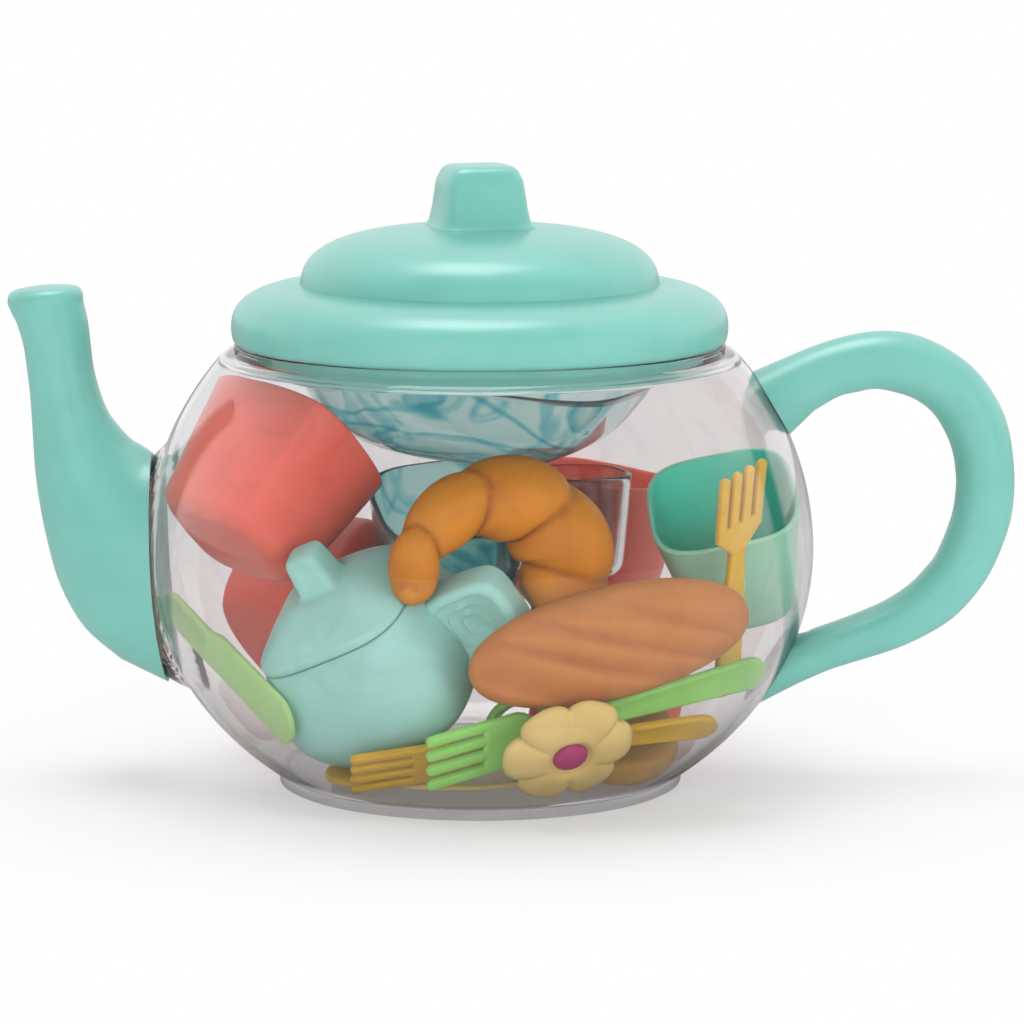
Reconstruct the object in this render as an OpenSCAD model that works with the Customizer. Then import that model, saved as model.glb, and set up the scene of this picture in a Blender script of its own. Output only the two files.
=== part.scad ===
// Toy teapot with a clear round bowl, filled with a play tea set.
// The bowl's axis is Z and the table is Z 0. The spout points to -X and the handle to +X.

/* [Bowl] */
// Greatest radius of the bowl
bowl_r = 111; // [100:0.5:125]
// Height of the greatest radius above the table
bowl_mid_z = 78.5; // [76:0.5:84]
// Half height of the oval above the greatest radius
bowl_up = 102; // [98:1:115]
// Half height of the oval below the greatest radius
bowl_down = 94; // [90:1:97]
// Wall of the clear plastic
bowl_wall = 2.2; // [1.6:0.1:3]
// Height of the bowl's rim, where the lid sits
rim_z = 147.5; // [144:0.5:152]
// Step from the bowl's curve in to its neck
neck_step = 3.8; // [3:0.1:6]
// Height of the neck
neck_h = 3.6; // [3:0.1:5]
// Outer radius of the foot ring
foot_r = 67.3; // [62:0.1:70]
// Height of the foot ring
foot_h = 3.5; // [3:0.1:5]
// Thickness of the bowl's floor
floor_t = 3.4; // [2.4:0.1:4]

/* [Lid] */
// Overhang of the lid past the neck
lid_lap = 0.9; // [0.5:0.1:4]
// Height of the lid's rounded lower edge
lid_edge_h = 4.5; // [3:0.1:6]
// Height of the lower tier above that edge
lid_tier_h = 15; // [12:0.1:18]
// Radius where the lower tier is flat
lid_flat_r = 52; // [46:0.5:56]
// Radius of the dome
dome_r = 59.5; // [55:0.5:64]
// Height of the dome
dome_h = 22; // [17:0.5:26]
// Depth of the dome's foot below the lower tier's top
dome_sink = 3; // [2:0.1:5]
// Wall of the lid
lid_wall = 2.2; // [1.6:0.1:3]
// Depth of the lid's skirt inside the neck
skirt_h = 7; // [5:0.1:9]
// Height that the lid rests above the rim
lid_rest = 0.2; // [0.1:0.05:0.4]
// Clearance between the skirt and the neck, each side
skirt_clear = 0.5; // [0.3:0.05:1]
// Width of the square knob at its foot
knob_w = 32; // [26:0.5:36]
// Width of the knob at its top
knob_top_w = 26.4; // [22:0.1:30]
// Height of the knob above the dome
knob_h = 20; // [16:0.5:26]
// Rounding of the knob's top edge
knob_round = 3; // [2:0.1:5]

/* [Spout] */
// Height of the middle of the spout's foot
spout_z = 71.8; // [68:0.1:76]
// Half height of the spout's foot on the bowl
spout_foot_half = 38.5; // [34:0.5:42]
// Half width of the spout's foot
spout_foot_w = 26; // [22:0.5:29]
// Reach of the spout from the bowl
spout_reach = 45; // [40:0.5:52]
// Rise from the lowest point of the spout to its tip
spout_rise = 133; // [124:0.5:142]
// Half width of the spout along its neck
spout_half = 12; // [10:0.1:14]
// Wall of the spout
spout_wall = 2.2; // [1.6:0.1:3]

/* [Handle] */
// Height of the middle of the handle's lower foot
handle_low_z = 36; // [33:0.5:40]
// Rise from the lower foot to the top of the handle
handle_rise = 115; // [108:0.5:122]
// Reach of the handle from its upper foot
handle_reach = 79.5; // [70:0.5:90]
// Half width of the handle's grip
handle_half = 9.8; // [8:0.1:11.5]
// Half height of the handle's upper foot
handle_foot_half = 12.1; // [11:0.1:13.5]
// Half height of the handle's lower foot
handle_low_half = 14.1; // [13:0.1:15.5]
// Wall of the handle
handle_wall = 2.2; // [1.6:0.1:3]

/* [Cups] */
// Width of a cup at its rim
cup_w = 55; // [50:0.5:58]
// Width of a cup at its foot
cup_foot_w = 42; // [37:0.5:46]
// Height of a cup
cup_h = 48; // [43:0.5:51]
// Wall of a cup
cup_wall = 2; // [1.4:0.1:2.6]
// Width of the clear cup at its rim
clear_w = 50; // [46:0.5:53]
// Width of the clear cup at its foot
clear_foot_w = 38; // [34:0.5:41]
// Height of the clear cup
clear_h = 46; // [42:0.5:48]
// Width of the pale beaker at its rim
beaker_w = 39; // [35:0.5:42]
// Width of the pale beaker at its foot
beaker_foot_w = 32; // [28:0.5:35]
// Height of the pale beaker
beaker_h = 36; // [32:0.5:39]
// Wall of the pale beaker
beaker_wall = 1.8; // [1.4:0.1:2.4]
// Width of the clear dish at its rim
dish_w = 112; // [102:0.5:118]
// Width of the clear dish at its foot
dish_foot_w = 58; // [50:0.5:66]
// Height of the clear dish
dish_h = 30; // [26:0.5:32]
// Wall of the clear dish
dish_wall = 2; // [1.4:0.1:2.6]
// Radius of the saucer
saucer_r = 42; // [36:0.5:48]
// Height of the saucer
saucer_h = 5; // [4:0.1:7]
// Wall of the saucer
saucer_wall = 1.8; // [1.4:0.1:2.4]

/* [Small pot] */
// Width of the small pot's rim
pot_rim_w = 56; // [50:0.5:60]
// Greatest width of the small pot
pot_w = 66; // [60:0.5:70]
// Width of the small pot's foot
pot_foot_w = 44; // [38:0.5:50]
// Height of the small pot's body
pot_h = 46; // [42:0.5:50]
// Wall of the small pot
pot_wall = 2; // [1.4:0.1:2.6]
// Height of the small pot's lid without its knob
pot_lid_h = 13; // [11:0.5:15]
// Width of the small knob at its foot
pot_knob_w = 13; // [11:0.5:15]
// Height of the small knob
pot_knob_h = 15; // [12:0.5:17]
// Width of the small pot's ear
ear_w = 30; // [26:0.5:33]
// Thickness of the ear
ear_t = 13; // [10:0.5:16]
// Depth of each step in the ear's recess
ear_step = 1; // [0.6:0.1:1.5]

/* [Creamer] */
// Width of the creamer's rim
creamer_w = 50; // [46:0.5:54]
// Width of the creamer's foot
creamer_foot_w = 34; // [30:0.5:40]
// Height of the creamer
creamer_h = 46; // [40:0.5:50]
// Wall of the creamer
creamer_wall = 2; // [1.4:0.1:2.6]

/* [Cutlery] */
// Length of a fork
fork_l = 120; // [112:0.5:126]
// Length of the small fork at the side
side_fork_l = 88; // [80:0.5:96]
// Width of a fork's head
fork_w = 21; // [18:0.5:24]
// Width of a fork's handle at its end
fork_handle_w = 13; // [10:0.5:15]
// Width of a fork's neck
fork_neck_w = 7; // [5:0.5:9]
// Gap between two tines
tine_gap = 2; // [1.5:0.1:3]
// Length of the tines
tine_l = 21; // [17:0.5:25]
// Length of a knife
knife_l = 78; // [70:0.5:86]
// Width of a knife's blade
knife_w = 18; // [15:0.5:22]
// Thickness of the cutlery
cutlery_t = 2.8; // [2.2:0.1:3.6]

/* [Food] */
// Span of the croissant from side to side
croissant_span = 66; // [58:0.5:72]
// Largest half thickness of the croissant
croissant_half = 15.5; // [12:0.5:17]
// Depth of the creases in the croissant
croissant_crease = 1.6; // [0.8:0.1:2.5]
// Length of the loaf
loaf_l = 92; // [84:0.5:98]
// Width of the loaf
loaf_w = 36; // [30:0.5:40]
// Thickness of the loaf
loaf_t = 28; // [24:0.5:32]
// Depth of the loaf's slashes
loaf_slash = 1.5; // [0.8:0.1:2.5]
// Radius of the biscuit
biscuit_r = 20; // [17:0.5:23]
// Thickness of the biscuit
biscuit_t = 9; // [7:0.5:11]

/* [Napkin ring] */
// Outer radius of the napkin ring
ring_r = 13; // [11:0.5:15]
// Wall of the napkin ring
ring_wall = 3.4; // [2.6:0.1:4]
// Width of the napkin ring's band
ring_w = 9; // [7:0.5:12]
// Radius of the flower
flower_r = 21.5; // [19:0.5:24]
// Thickness of the flower
flower_t = 8; // [6:0.5:10]
// Radius of the flower's centre
flower_eye_r = 6; // [5:0.1:7]
// Height of the flower's centre above its pocket
flower_eye_t = 2.4; // [1.8:0.1:3.2]

/* [Hidden] */
$fn = 96;
// Overrun of every cut
cut = 1;
// Glue line under the spout and the handle
bond = 0.15;
// Sides of a moulded rounded-square shape and of a swept tube
square_sides = 32;
tube_sides = 24;
// Steps between two places of a swept outline
steps = 2;
// Squareness of a rounded-square section, 1 would be round
soft_square = 0.56;
knob_square = 0.42;
// Squareness of the lid's two tiers
tier_curve = 0.75;
dome_curve = 0.7;
// Turn of the knob about the lid's axis
knob_turn = 16;

// Oval of the bowl: its radius at a height
function oval(z, r, up, down) =
  r * sqrt(max(0, 1 - pow((z - bowl_mid_z) / (z > bowl_mid_z ? up : down), 2)));
function bowl_out(z) = oval(z, bowl_r, bowl_up, bowl_down);
function bowl_in(z) = oval(z, bowl_r - bowl_wall, bowl_up - bowl_wall, bowl_down - bowl_wall);

// Rings of points and the skins between them
function power(v, e) = sign(v) * pow(abs(v), e);
function square_ring(half, z, e, n = square_sides) =
  [for (i = [0:n - 1]) let (a = 360 * i / n) [half * power(cos(a), e), half * power(sin(a), e), z]];
function side_faces(m, n, wrap) =
  [for (k = [0:m - (wrap ? 1 : 2)]) for (i = [0:n - 1])
    let (j = (i + 1) % n, l = (k + 1) % m)
    each [[k * n + i, l * n + i, l * n + j], [k * n + i, l * n + j, k * n + j]]];
module capped(rings) {
  n = len(rings[0]);
  m = len(rings);
  polyhedron(points = [for (r = rings) each r],
    faces = concat([[for (i = [0:n - 1]) i]], side_faces(m, n, false),
      [[for (i = [n - 1:-1:0]) (m - 1) * n + i]]), convexity = 6);
}
module looped(rings) {
  polyhedron(points = [for (r = rings) each r],
    faces = side_faces(len(rings), len(rings[0]), true), convexity = 6);
}

// Smooth curve through a list of rows
function row(p, i) = i < 0 ? 2 * p[0] - p[1] : i >= len(p) ? 2 * p[len(p) - 1] - p[len(p) - 2] : p[i];
function curve_at(p, i, t) =
  let (a = row(p, i - 1), b = row(p, i), c = row(p, i + 1), d = row(p, i + 2))
  0.5 * (2 * b + t * (c - a) + t * t * (2 * a - 5 * b + 4 * c - d) + t * t * t * (3 * b - a - 3 * c + d));
function curve(p, k) =
  [for (i = [0:len(p) - 2]) for (s = [0:k - 1]) curve_at(p, i, s / k), p[len(p) - 1]];

// Ring between two edge points in the XZ plane, with a half width along Y
function edge_ring(e, turn, n = tube_sides) =
  let (mx = (e[0] + e[2]) / 2, mz = (e[1] + e[3]) / 2, hx = (e[0] - e[2]) / 2, hz = (e[1] - e[3]) / 2)
  [for (i = [0:n - 1]) let (a = 360 * i / n)
    [mx + hx * cos(a), turn * e[4] * sin(a), mz + hz * cos(a)]];
// The same ring drawn in by a wall
function draw_in(e, w) =
  let (dx = e[0] - e[2], dz = e[1] - e[3], l = sqrt(dx * dx + dz * dz))
  [e[0] - w * dx / l, e[1] - w * dz / l, e[2] + w * dx / l, e[3] + w * dz / l, e[4] - w];

// Pad for the spout's foot: a flatter oval than the bowl
pad_gain = 0.4;
pad_up = 151;
pad_down = 127;
pad_edge = 3;
function pad_out(z) = oval(z, bowl_r + pad_gain, pad_up, pad_down);

// Seats of the handle: a place on the bowl and the slope of its wall there
seat_gain = 1.2;
seat_edge = 1.5;
handle_top_share = 0.794;
handle_top_z = handle_low_z + handle_top_share * handle_rise;
function slope(z) =
  let (h = z > bowl_mid_z ? bowl_up : bowl_down)
  atan2((z - bowl_mid_z) / (h * h), bowl_out(z) / (bowl_r * bowl_r));
top_slope = slope(handle_top_z);
low_slope = slope(handle_low_z);
function seat_point(z, tilt, gain) =
  [bowl_out(z) + gain * cos(tilt), z + gain * sin(tilt)];
// Edge row across a seat: upper point, lower point, half width
function seat_row(z, tilt, gain, half, w) =
  let (c = seat_point(z, tilt, gain))
  [c[0] - half * sin(tilt), c[1] + half * cos(tilt), c[0] + half * sin(tilt), c[1] - half * cos(tilt), w];

function profile_z(a, b, n) = [for (i = [0:n]) a + (b - a) * i / n];
bowl_steps = 36;
shoulder_z = rim_z - neck_h;
neck_r = bowl_out(shoulder_z) - neck_step;

module bowl_outside() {
  rotate_extrude()
    polygon(concat([[0, 0], [foot_r, 0]],
      [for (z = profile_z(foot_h, shoulder_z, bowl_steps)) [bowl_out(z), z]],
      [[neck_r, shoulder_z + bowl_wall / 4], [neck_r, rim_z], [0, rim_z]]));
}
module bowl_inside() {
  rotate_extrude()
    polygon(concat([[0, floor_t]],
      [for (z = profile_z(floor_t, shoulder_z - bowl_wall, bowl_steps)) [bowl_in(z), z]],
      [[neck_r - bowl_wall, shoulder_z - bowl_wall / 2], [neck_r - bowl_wall, rim_z + cut],
       [0, rim_z + cut]]));
}
module spout_pad() {
  intersection() {
    rotate_extrude()
      polygon(concat([[0, spout_z - 2 * spout_foot_half]],
        [for (z = profile_z(spout_z - spout_foot_half - 2 * pad_edge,
          spout_z + spout_foot_half + 2 * pad_edge, bowl_steps / 2)) [pad_out(z), z]],
        [[0, spout_z + 2 * spout_foot_half]]));
    translate([0, 0, spout_z])
      rotate([0, -90, 0])
      scale([1, (spout_foot_w + pad_edge) / (spout_foot_half + pad_edge), 1])
      cylinder(r = spout_foot_half + pad_edge, h = 2 * bowl_r);
  }
}
module handle_seat(z, tilt, half) {
  c = seat_point(z, tilt, seat_gain);
  translate([c[0], 0, c[1]])
    rotate([0, 90 - tilt, 0])
    translate([0, 0, -half])
    cylinder(r = half + seat_edge, h = half);
}
module bowl() {
  color([0.85, 0.9, 0.92, 0.35])
  difference() {
    union() {
      bowl_outside();
      spout_pad();
      handle_seat(handle_top_z, top_slope, handle_foot_half);
      handle_seat(handle_low_z, low_slope, handle_low_half);
    }
    bowl_inside();
  }
}

// Lid: two tiers, a skirt and a hollow square knob in one moulding
lid_z = rim_z + lid_rest;
lid_r = neck_r + lid_lap;
lid_mid_z = lid_z + lid_edge_h;
dome_z = lid_mid_z + lid_tier_h - dome_sink;
dome_top_z = dome_z + dome_h;
skirt_r = neck_r - bowl_wall - skirt_clear;
lid_edge_in = 1.8;
function tier_pts(in) =
  [for (a = [0:7.5:82.5]) let (r = lid_flat_r + (lid_r - lid_flat_r - in) * pow(cos(a), tier_curve))
    if (r > dome_r - in) [r, lid_mid_z + (lid_tier_h - in) * pow(sin(a), tier_curve)]];
function dome_pts(in) =
  [for (a = [5:5:90]) [(dome_r - in) * pow(max(0, cos(a)), dome_curve),
    dome_z + (dome_h - in) * pow(sin(a), dome_curve)]];
module lid_outside() {
  rotate_extrude()
    polygon(concat([[0, lid_z - skirt_h], [skirt_r, lid_z - skirt_h], [skirt_r, lid_z],
      [lid_r - lid_edge_in, lid_z], [lid_r - lid_edge_in / 4, lid_z + lid_edge_h / 3]],
      tier_pts(0), dome_pts(0)));
}
module lid_inside() {
  rotate_extrude()
    polygon(concat([[0, lid_z - skirt_h - cut], [skirt_r - lid_wall, lid_z - skirt_h - cut],
      [skirt_r - lid_wall, lid_z + lid_wall], [lid_r - lid_wall - lid_edge_in / 4, lid_mid_z]],
      tier_pts(lid_wall), dome_pts(lid_wall)));
}
function knob_half(z) =
  knob_w / 2 + (knob_top_w - knob_w) / 2 * (z - dome_top_z) / knob_h;
function knob_rings(in, low) =
  let (top = dome_top_z + knob_h - in, r = max(knob_round - in, in / 2))
  [square_ring(knob_half(low) - in, low, knob_square),
   for (a = [0:30:90])
     square_ring(knob_half(top - r) - in - r * (1 - cos(a)), top - r * (1 - sin(a)), knob_square)];
module lid() {
  color("#8fd6ca")
  difference() {
    union() {
      lid_outside();
      rotate([0, 0, knob_turn])
        capped(knob_rings(0, dome_top_z - lid_wall / 2));
    }
    lid_inside();
    rotate([0, 0, knob_turn])
      capped(knob_rings(lid_wall, dome_top_z - 2 * lid_wall));
  }
}

// Spout: each row is the upper edge, the lower edge and the half width,
// as shares of the reach, the rise and the neck's half width
spout_shares = [
  [0.44, 0.96, 0.995, 0.955, 1.02], [0.42, 0.93, 0.96, 0.927, 1.0], [0.406, 0.905, 0.928, 0.905, 0.98],
  [0.39, 0.855, 0.884, 0.852, 0.96], [0.37, 0.794, 0.861, 0.794, 0.96], [0.324, 0.732, 0.84, 0.727, 0.98],
  [0.265, 0.682, 0.828, 0.65, 1.02], [0.184, 0.644, 0.813, 0.546, 1.12], [0.102, 0.614, 0.784, 0.46, 1.25],
  [0.036, 0.6, 0.732, 0.363, 1.42], [-0.012, 0.59, 0.636, 0.246, 1.64], [-0.034, 0.584, 0.458, 0.138, 1.86],
  [-0.042, 0.581, 0.19, 0.058, 2.04]];
spout_tip_shares = [
  [0.53, 1, 0.89, 0.992, 0.68], [0.47, 0.995, 0.95, 0.987, 0.86], [0.445, 0.982, 0.99, 0.975, 0.98]];
spout_low_z = spout_z - spout_foot_half;
spout_x = bowl_r + pad_gain;
function spout_row(s) =
  [-spout_x - s[0] * spout_reach, spout_low_z + s[1] * spout_rise,
   -spout_x - s[2] * spout_reach, spout_low_z + s[3] * spout_rise, s[4] * spout_half];
// Ring on the pad, a glue line away from it
function pad_ring(half, w) =
  [for (i = [0:tube_sides - 1])
    let (a = 360 * i / tube_sides, y = -w * sin(a), z = spout_z + half * cos(a), r = pad_out(z) + bond)
    [-sqrt(r * r - y * y), y, z]];
module spout() {
  tip = [for (s = spout_tip_shares) spout_row(s)];
  body = curve([for (s = spout_shares) spout_row(s)], steps);
  outer = concat(tip, body);
  color("#8ccdc3")
  capped(concat(
    [for (e = outer) edge_ring(e, -1)],
    [pad_ring(spout_foot_half, spout_foot_w),
     pad_ring(spout_foot_half - spout_wall, spout_foot_w - spout_wall)],
    [for (i = [len(body) - 1:-1:0]) edge_ring(draw_in(body[i], spout_wall), -1)]));
}

// Handle: each row is the outer edge, the inner edge and the half width,
// as shares of the reach, the rise and the grip's half width
handle_shares = [
  [0.03, 0.92, 0.16, 0.77, 1.06], [0.15, 0.955, 0.26, 0.81, 1], [0.29, 0.985, 0.335, 0.823, 1],
  [0.436, 1, 0.41, 0.832, 1], [0.583, 0.988, 0.49, 0.823, 1], [0.72, 0.945, 0.574, 0.803, 1],
  [0.834, 0.884, 0.65, 0.765, 1], [0.918, 0.806, 0.704, 0.71, 1], [0.969, 0.725, 0.738, 0.652, 1],
  [0.996, 0.62, 0.754, 0.588, 1], [1, 0.522, 0.755, 0.53, 1], [0.977, 0.42, 0.738, 0.455, 0.99],
  [0.902, 0.29, 0.682, 0.354, 0.97], [0.797, 0.191, 0.633, 0.307, 0.96], [0.688, 0.13, 0.566, 0.258, 0.95],
  [0.52, 0.072, 0.453, 0.206, 0.93], [0.331, 0.03, 0.289, 0.158, 0.92], [0.226, 0.006, 0.176, 0.13, 0.93]];
handle_last_shares = [0.1, -0.032, 0.14, 0.118, 1.04];
handle_foot_w = 11.6;
handle_low_w = 11.2;
top_seat = seat_point(handle_top_z, top_slope, seat_gain);
function handle_row(s) =
  [top_seat[0] + s[0] * handle_reach, handle_low_z + s[1] * handle_rise,
   top_seat[0] + s[2] * handle_reach, handle_low_z + s[3] * handle_rise, s[4] * handle_half];
module handle() {
  rows = concat(
    [seat_row(handle_top_z, top_slope, seat_gain + bond, handle_foot_half, handle_foot_w)],
    curve([for (s = handle_shares) handle_row(s)], steps),
    [handle_row(handle_last_shares)]);
  low = seat_row(handle_low_z, low_slope, seat_gain + bond, handle_low_half, handle_low_w);
  all_rows = concat(rows, [[low[2], low[3], low[0], low[1], low[4]]]);
  color("#9ad6cb")
  looped(concat(
    [for (e = all_rows) edge_ring(e, -1)],
    [for (i = [len(all_rows) - 1:-1:0]) edge_ring(draw_in(all_rows[i], handle_wall), -1)]));
}

// Places of the loose pieces: shares of the bowl's radius from the middle of the oval,
// then how far a piece leans, towards which side, and its spin about its own axis
module put(place_shares, lean) {
  translate([place_shares[0] * bowl_r, place_shares[1] * bowl_r,
    bowl_mid_z + place_shares[2] * bowl_r])
    rotate([0, 0, lean[1]])
    rotate([0, lean[0], 0])
    rotate([0, 0, lean[2] - lean[1]])
    children();
}

// Rounded-square vessel: outside from the foot to the rim, then the inside down again
side_shares = [0.3, 0.55, 0.8, 1];
function vessel_side(z, h, a, b, bow) = a / 2 + (b - a) / 2 * pow(max(0, z) / h, bow);
function vessel(h, a, b, wall, round, bow, e, n = square_sides) =
  let (inner = max(round - wall, wall / 2))
  [for (q = [0:30:90]) let (z = round * (1 - cos(q)))
     square_ring(vessel_side(z, h, a, b, bow) - round * (1 - sin(q)), z - h / 2, e, n),
   for (t = side_shares) let (z = round + (h - wall / 2 - round) * t)
     square_ring(vessel_side(z, h, a, b, bow), z - h / 2, e, n),
   square_ring(vessel_side(h, h, a, b, bow) - wall / 4, h / 2, e, n),
   square_ring(vessel_side(h, h, a, b, bow) - wall * 3 / 4, h / 2, e, n),
   for (k = [len(side_shares) - 1:-1:0]) let (z = round + (h - wall / 2 - round) * side_shares[k])
     square_ring(vessel_side(z, h, a, b, bow) - wall, z - h / 2, e, n),
   for (q = [90:-30:0]) let (z = wall + inner * (1 - cos(q)))
     square_ring(vessel_side(z, h, a, b, bow) - wall - inner * (1 - sin(q)), z - h / 2, e, n)];

cup_round = 6;
cup_bow = 0.8;
module cup_shape() {
  capped(vessel(cup_h, cup_foot_w, cup_w, cup_wall, cup_round, cup_bow, soft_square));
}
cup_left_place_shares = [-0.637, -0.181, 0.207];
cup_left_lean_angles = [43, 43, -37];
module cup_left() {
  color("#ec7b6c") put(cup_left_place_shares, cup_left_lean_angles) cup_shape();
}
cup_low_place_shares = [-0.449, 0.368, -0.22];
cup_low_lean_angles = [100, 140, 10];
module cup_low() {
  color("#c1554c") put(cup_low_place_shares, cup_low_lean_angles) cup_shape();
}
cup_back_place_shares = [0.347, 0.611, -0.076];
cup_back_lean_angles = [8, 0, -32];
module cup_back() {
  color("#c1625d") put(cup_back_place_shares, cup_back_lean_angles) cup_shape();
}
cup_right_place_shares = [0.41, 0.15, -0.417];
cup_right_lean_angles = [77, 180, 5];
module cup_right() {
  color("#ea7264") put(cup_right_place_shares, cup_right_lean_angles) cup_shape();
}

// Clear pieces
dish_round = 16;
dish_bow = 0.6;
dish_square = 0.46;
dish_place_shares = [-0.026, 0.183, 0.381];
dish_lean_angles = [6, 0, -16];
module dish() {
  color([0.62, 0.85, 0.83, 0.45])
  put(dish_place_shares, dish_lean_angles)
    capped(vessel(dish_h, dish_foot_w, dish_w, dish_wall, dish_round, dish_bow, dish_square));
}
clear_cup_place_shares = [-0.098, 0.088, -0.044];
clear_cup_lean_angles = [24, 270, 14];
module clear_cup() {
  color([0.5, 0.8, 0.8, 0.45])
  put(clear_cup_place_shares, clear_cup_lean_angles)
    capped(vessel(clear_h, clear_foot_w, clear_w, cup_wall, cup_round, cup_bow, soft_square));
}
beaker_place_shares = [0.275, 0.152, 0.045];
beaker_lean_angles = [0, 0, 20];
module beaker() {
  color([0.8, 0.88, 0.88, 0.45])
  put(beaker_place_shares, beaker_lean_angles)
    capped(vessel(beaker_h, beaker_foot_w, beaker_w, beaker_wall, cup_round, cup_bow, soft_square));
}
saucer_place_shares = [-0.07, -0.077, -0.675];
saucer_lean_angles = [0, 0, 0];
saucer_well_share = 0.62;
module saucer() {
  r = saucer_r;
  well = saucer_r * saucer_well_share;
  color("#efe3b4")
  put(saucer_place_shares, saucer_lean_angles)
    rotate_extrude()
    polygon([[0, 0], [well, 0], [r, saucer_h - saucer_wall], [r, saucer_h - saucer_wall / 2],
      [r - saucer_wall / 2, saucer_h], [well - saucer_wall / 2, saucer_wall], [0, saucer_wall]]);
}

// Small pot: rounded-square body with an ear, and a loose lid
pot_round = 7;
pot_place_shares = [-0.287, -0.336, -0.3];
pot_lean_angles = [36, 207, -20];
pot_mid_share = 0.5;
function pot_side(z) =
  let (m = pot_h * pot_mid_share)
  z < m ? pot_foot_w / 2 + (pot_w - pot_foot_w) / 2 * sin(90 * z / m)
        : pot_rim_w / 2 + (pot_w - pot_rim_w) / 2 * cos(90 * (z - m) / (pot_h - m));
pot_side_shares = [0.2, 0.4, 0.6, 0.8, 1];
function pot_rings(in) =
  let (r = pot_round - in)
  [for (q = [0:30:90]) let (z = in + r * (1 - cos(q)))
     square_ring(pot_side(z) - in - r * (1 - sin(q)), z, soft_square),
   for (t = pot_side_shares) let (z = pot_round + (pot_h - pot_round) * t)
     square_ring(pot_side(z) - in, z, soft_square)];
ear_round = 2.5;
ear_in_share = 0.125;
ear_steps = 3;
ear_square = 0.5;
ear_rise = 4;
function ear_face(side) =
  [for (q = [0:45:90]) square_ring(ear_w / 2 - ear_round * (1 - cos(q)),
     side * (ear_t / 2 - ear_round * (1 - sin(q))), ear_square, tube_sides),
   for (k = [1:ear_steps]) each [for (z = [k - 1, k])
     square_ring(ear_w / 2 - k * ear_w * ear_in_share, side * (ear_t / 2 - z * ear_step),
       ear_square, tube_sides)]];
module ear_shape() {
  low = ear_face(-1);
  capped(concat([for (i = [len(low) - 1:-1:0]) low[i]], ear_face(1)));
}
module pot() {
  color("#94d0c6")
  put(pot_place_shares, pot_lean_angles)
    translate([0, 0, -pot_h / 2])
    difference() {
      union() {
        capped(pot_rings(0));
        translate([pot_side(pot_h / 2) + ear_w / 4, 0, pot_h / 2 + ear_rise])
          rotate([90, 0, 0])
          ear_shape();
      }
      capped(concat(pot_rings(pot_wall), [square_ring(pot_rim_w / 2 - pot_wall, pot_h + cut, soft_square)]));
    }
}
pot_seat = 0.25;
pot_plug_h = 4;
pot_plug_clear = 0.5;
pot_lid_edge = 2.5;
pot_knob_square = 0.45;
pot_knob_round = 2;
pot_lid_wall_share = 0.5;
pot_knob_top_shares = [0.8, 0.72, 0.5];
pot_knob_edge_share = 0.4;
pot_lip_share = 1 / 3;
function pot_lid_rings() =
  let (half = pot_rim_w / 2, plug = pot_rim_w / 2 - pot_wall - pot_plug_clear, k = pot_knob_w / 2)
  [square_ring(plug, -pot_plug_h, soft_square), square_ring(plug, 0, soft_square),
   square_ring(half - pot_wall / 2, 0, soft_square), square_ring(half, pot_wall * pot_lip_share, soft_square),
   square_ring(half, pot_lid_edge, soft_square),
   square_ring(half - pot_wall / 2, pot_lid_edge + pot_wall / 2, soft_square),
   for (t = [0.25:0.25:1]) square_ring(half + (k + pot_wall - half) * t,
     pot_lid_edge + (pot_lid_h - pot_lid_edge) * sin(90 * t), soft_square),
   square_ring(k, pot_lid_h, pot_knob_square),
   square_ring(k * pot_knob_top_shares[0], pot_lid_h + pot_knob_h - pot_knob_round, pot_knob_square),
   square_ring(k * pot_knob_top_shares[1], pot_lid_h + pot_knob_h - pot_knob_round * pot_knob_edge_share,
     pot_knob_square),
   square_ring(k * pot_knob_top_shares[2], pot_lid_h + pot_knob_h, pot_knob_square)];
module pot_lid() {
  half = pot_rim_w / 2 - pot_wall - pot_plug_clear - pot_wall;
  color("#a5d9cf")
  put(pot_place_shares, pot_lean_angles)
    translate([0, 0, pot_h / 2 + pot_seat])
    difference() {
      capped(pot_lid_rings());
      capped([square_ring(half, -pot_plug_h - cut, soft_square), square_ring(half, pot_lid_edge, soft_square),
        square_ring(half * pot_lid_wall_share, pot_lid_h - 2 * pot_wall, soft_square)]);
    }
}

// Creamer: an open jug with a small stub on its front
creamer_round = 5;
creamer_bow = 0.9;
creamer_place_shares = [0.764, 0.04, -0.02];
creamer_lean_angles = [33, 248, 0];
stub_r = 2.8;
stub_l = 6;
stub_tip_r = 2;
stub_z_share = 0.1;
module creamer() {
  color("#7cc7b4")
  put(creamer_place_shares, creamer_lean_angles)
    union() {
      capped(vessel(creamer_h, creamer_foot_w, creamer_w, creamer_wall, creamer_round, creamer_bow,
        soft_square));
      translate([0, creamer_wall / 2
        - vessel_side(creamer_h / 2, creamer_h, creamer_foot_w, creamer_w, creamer_bow),
        creamer_h * stub_z_share])
        rotate([90, 0, 0])
        cylinder(r1 = stub_r, r2 = stub_tip_r, h = stub_l);
    }
}

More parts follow.
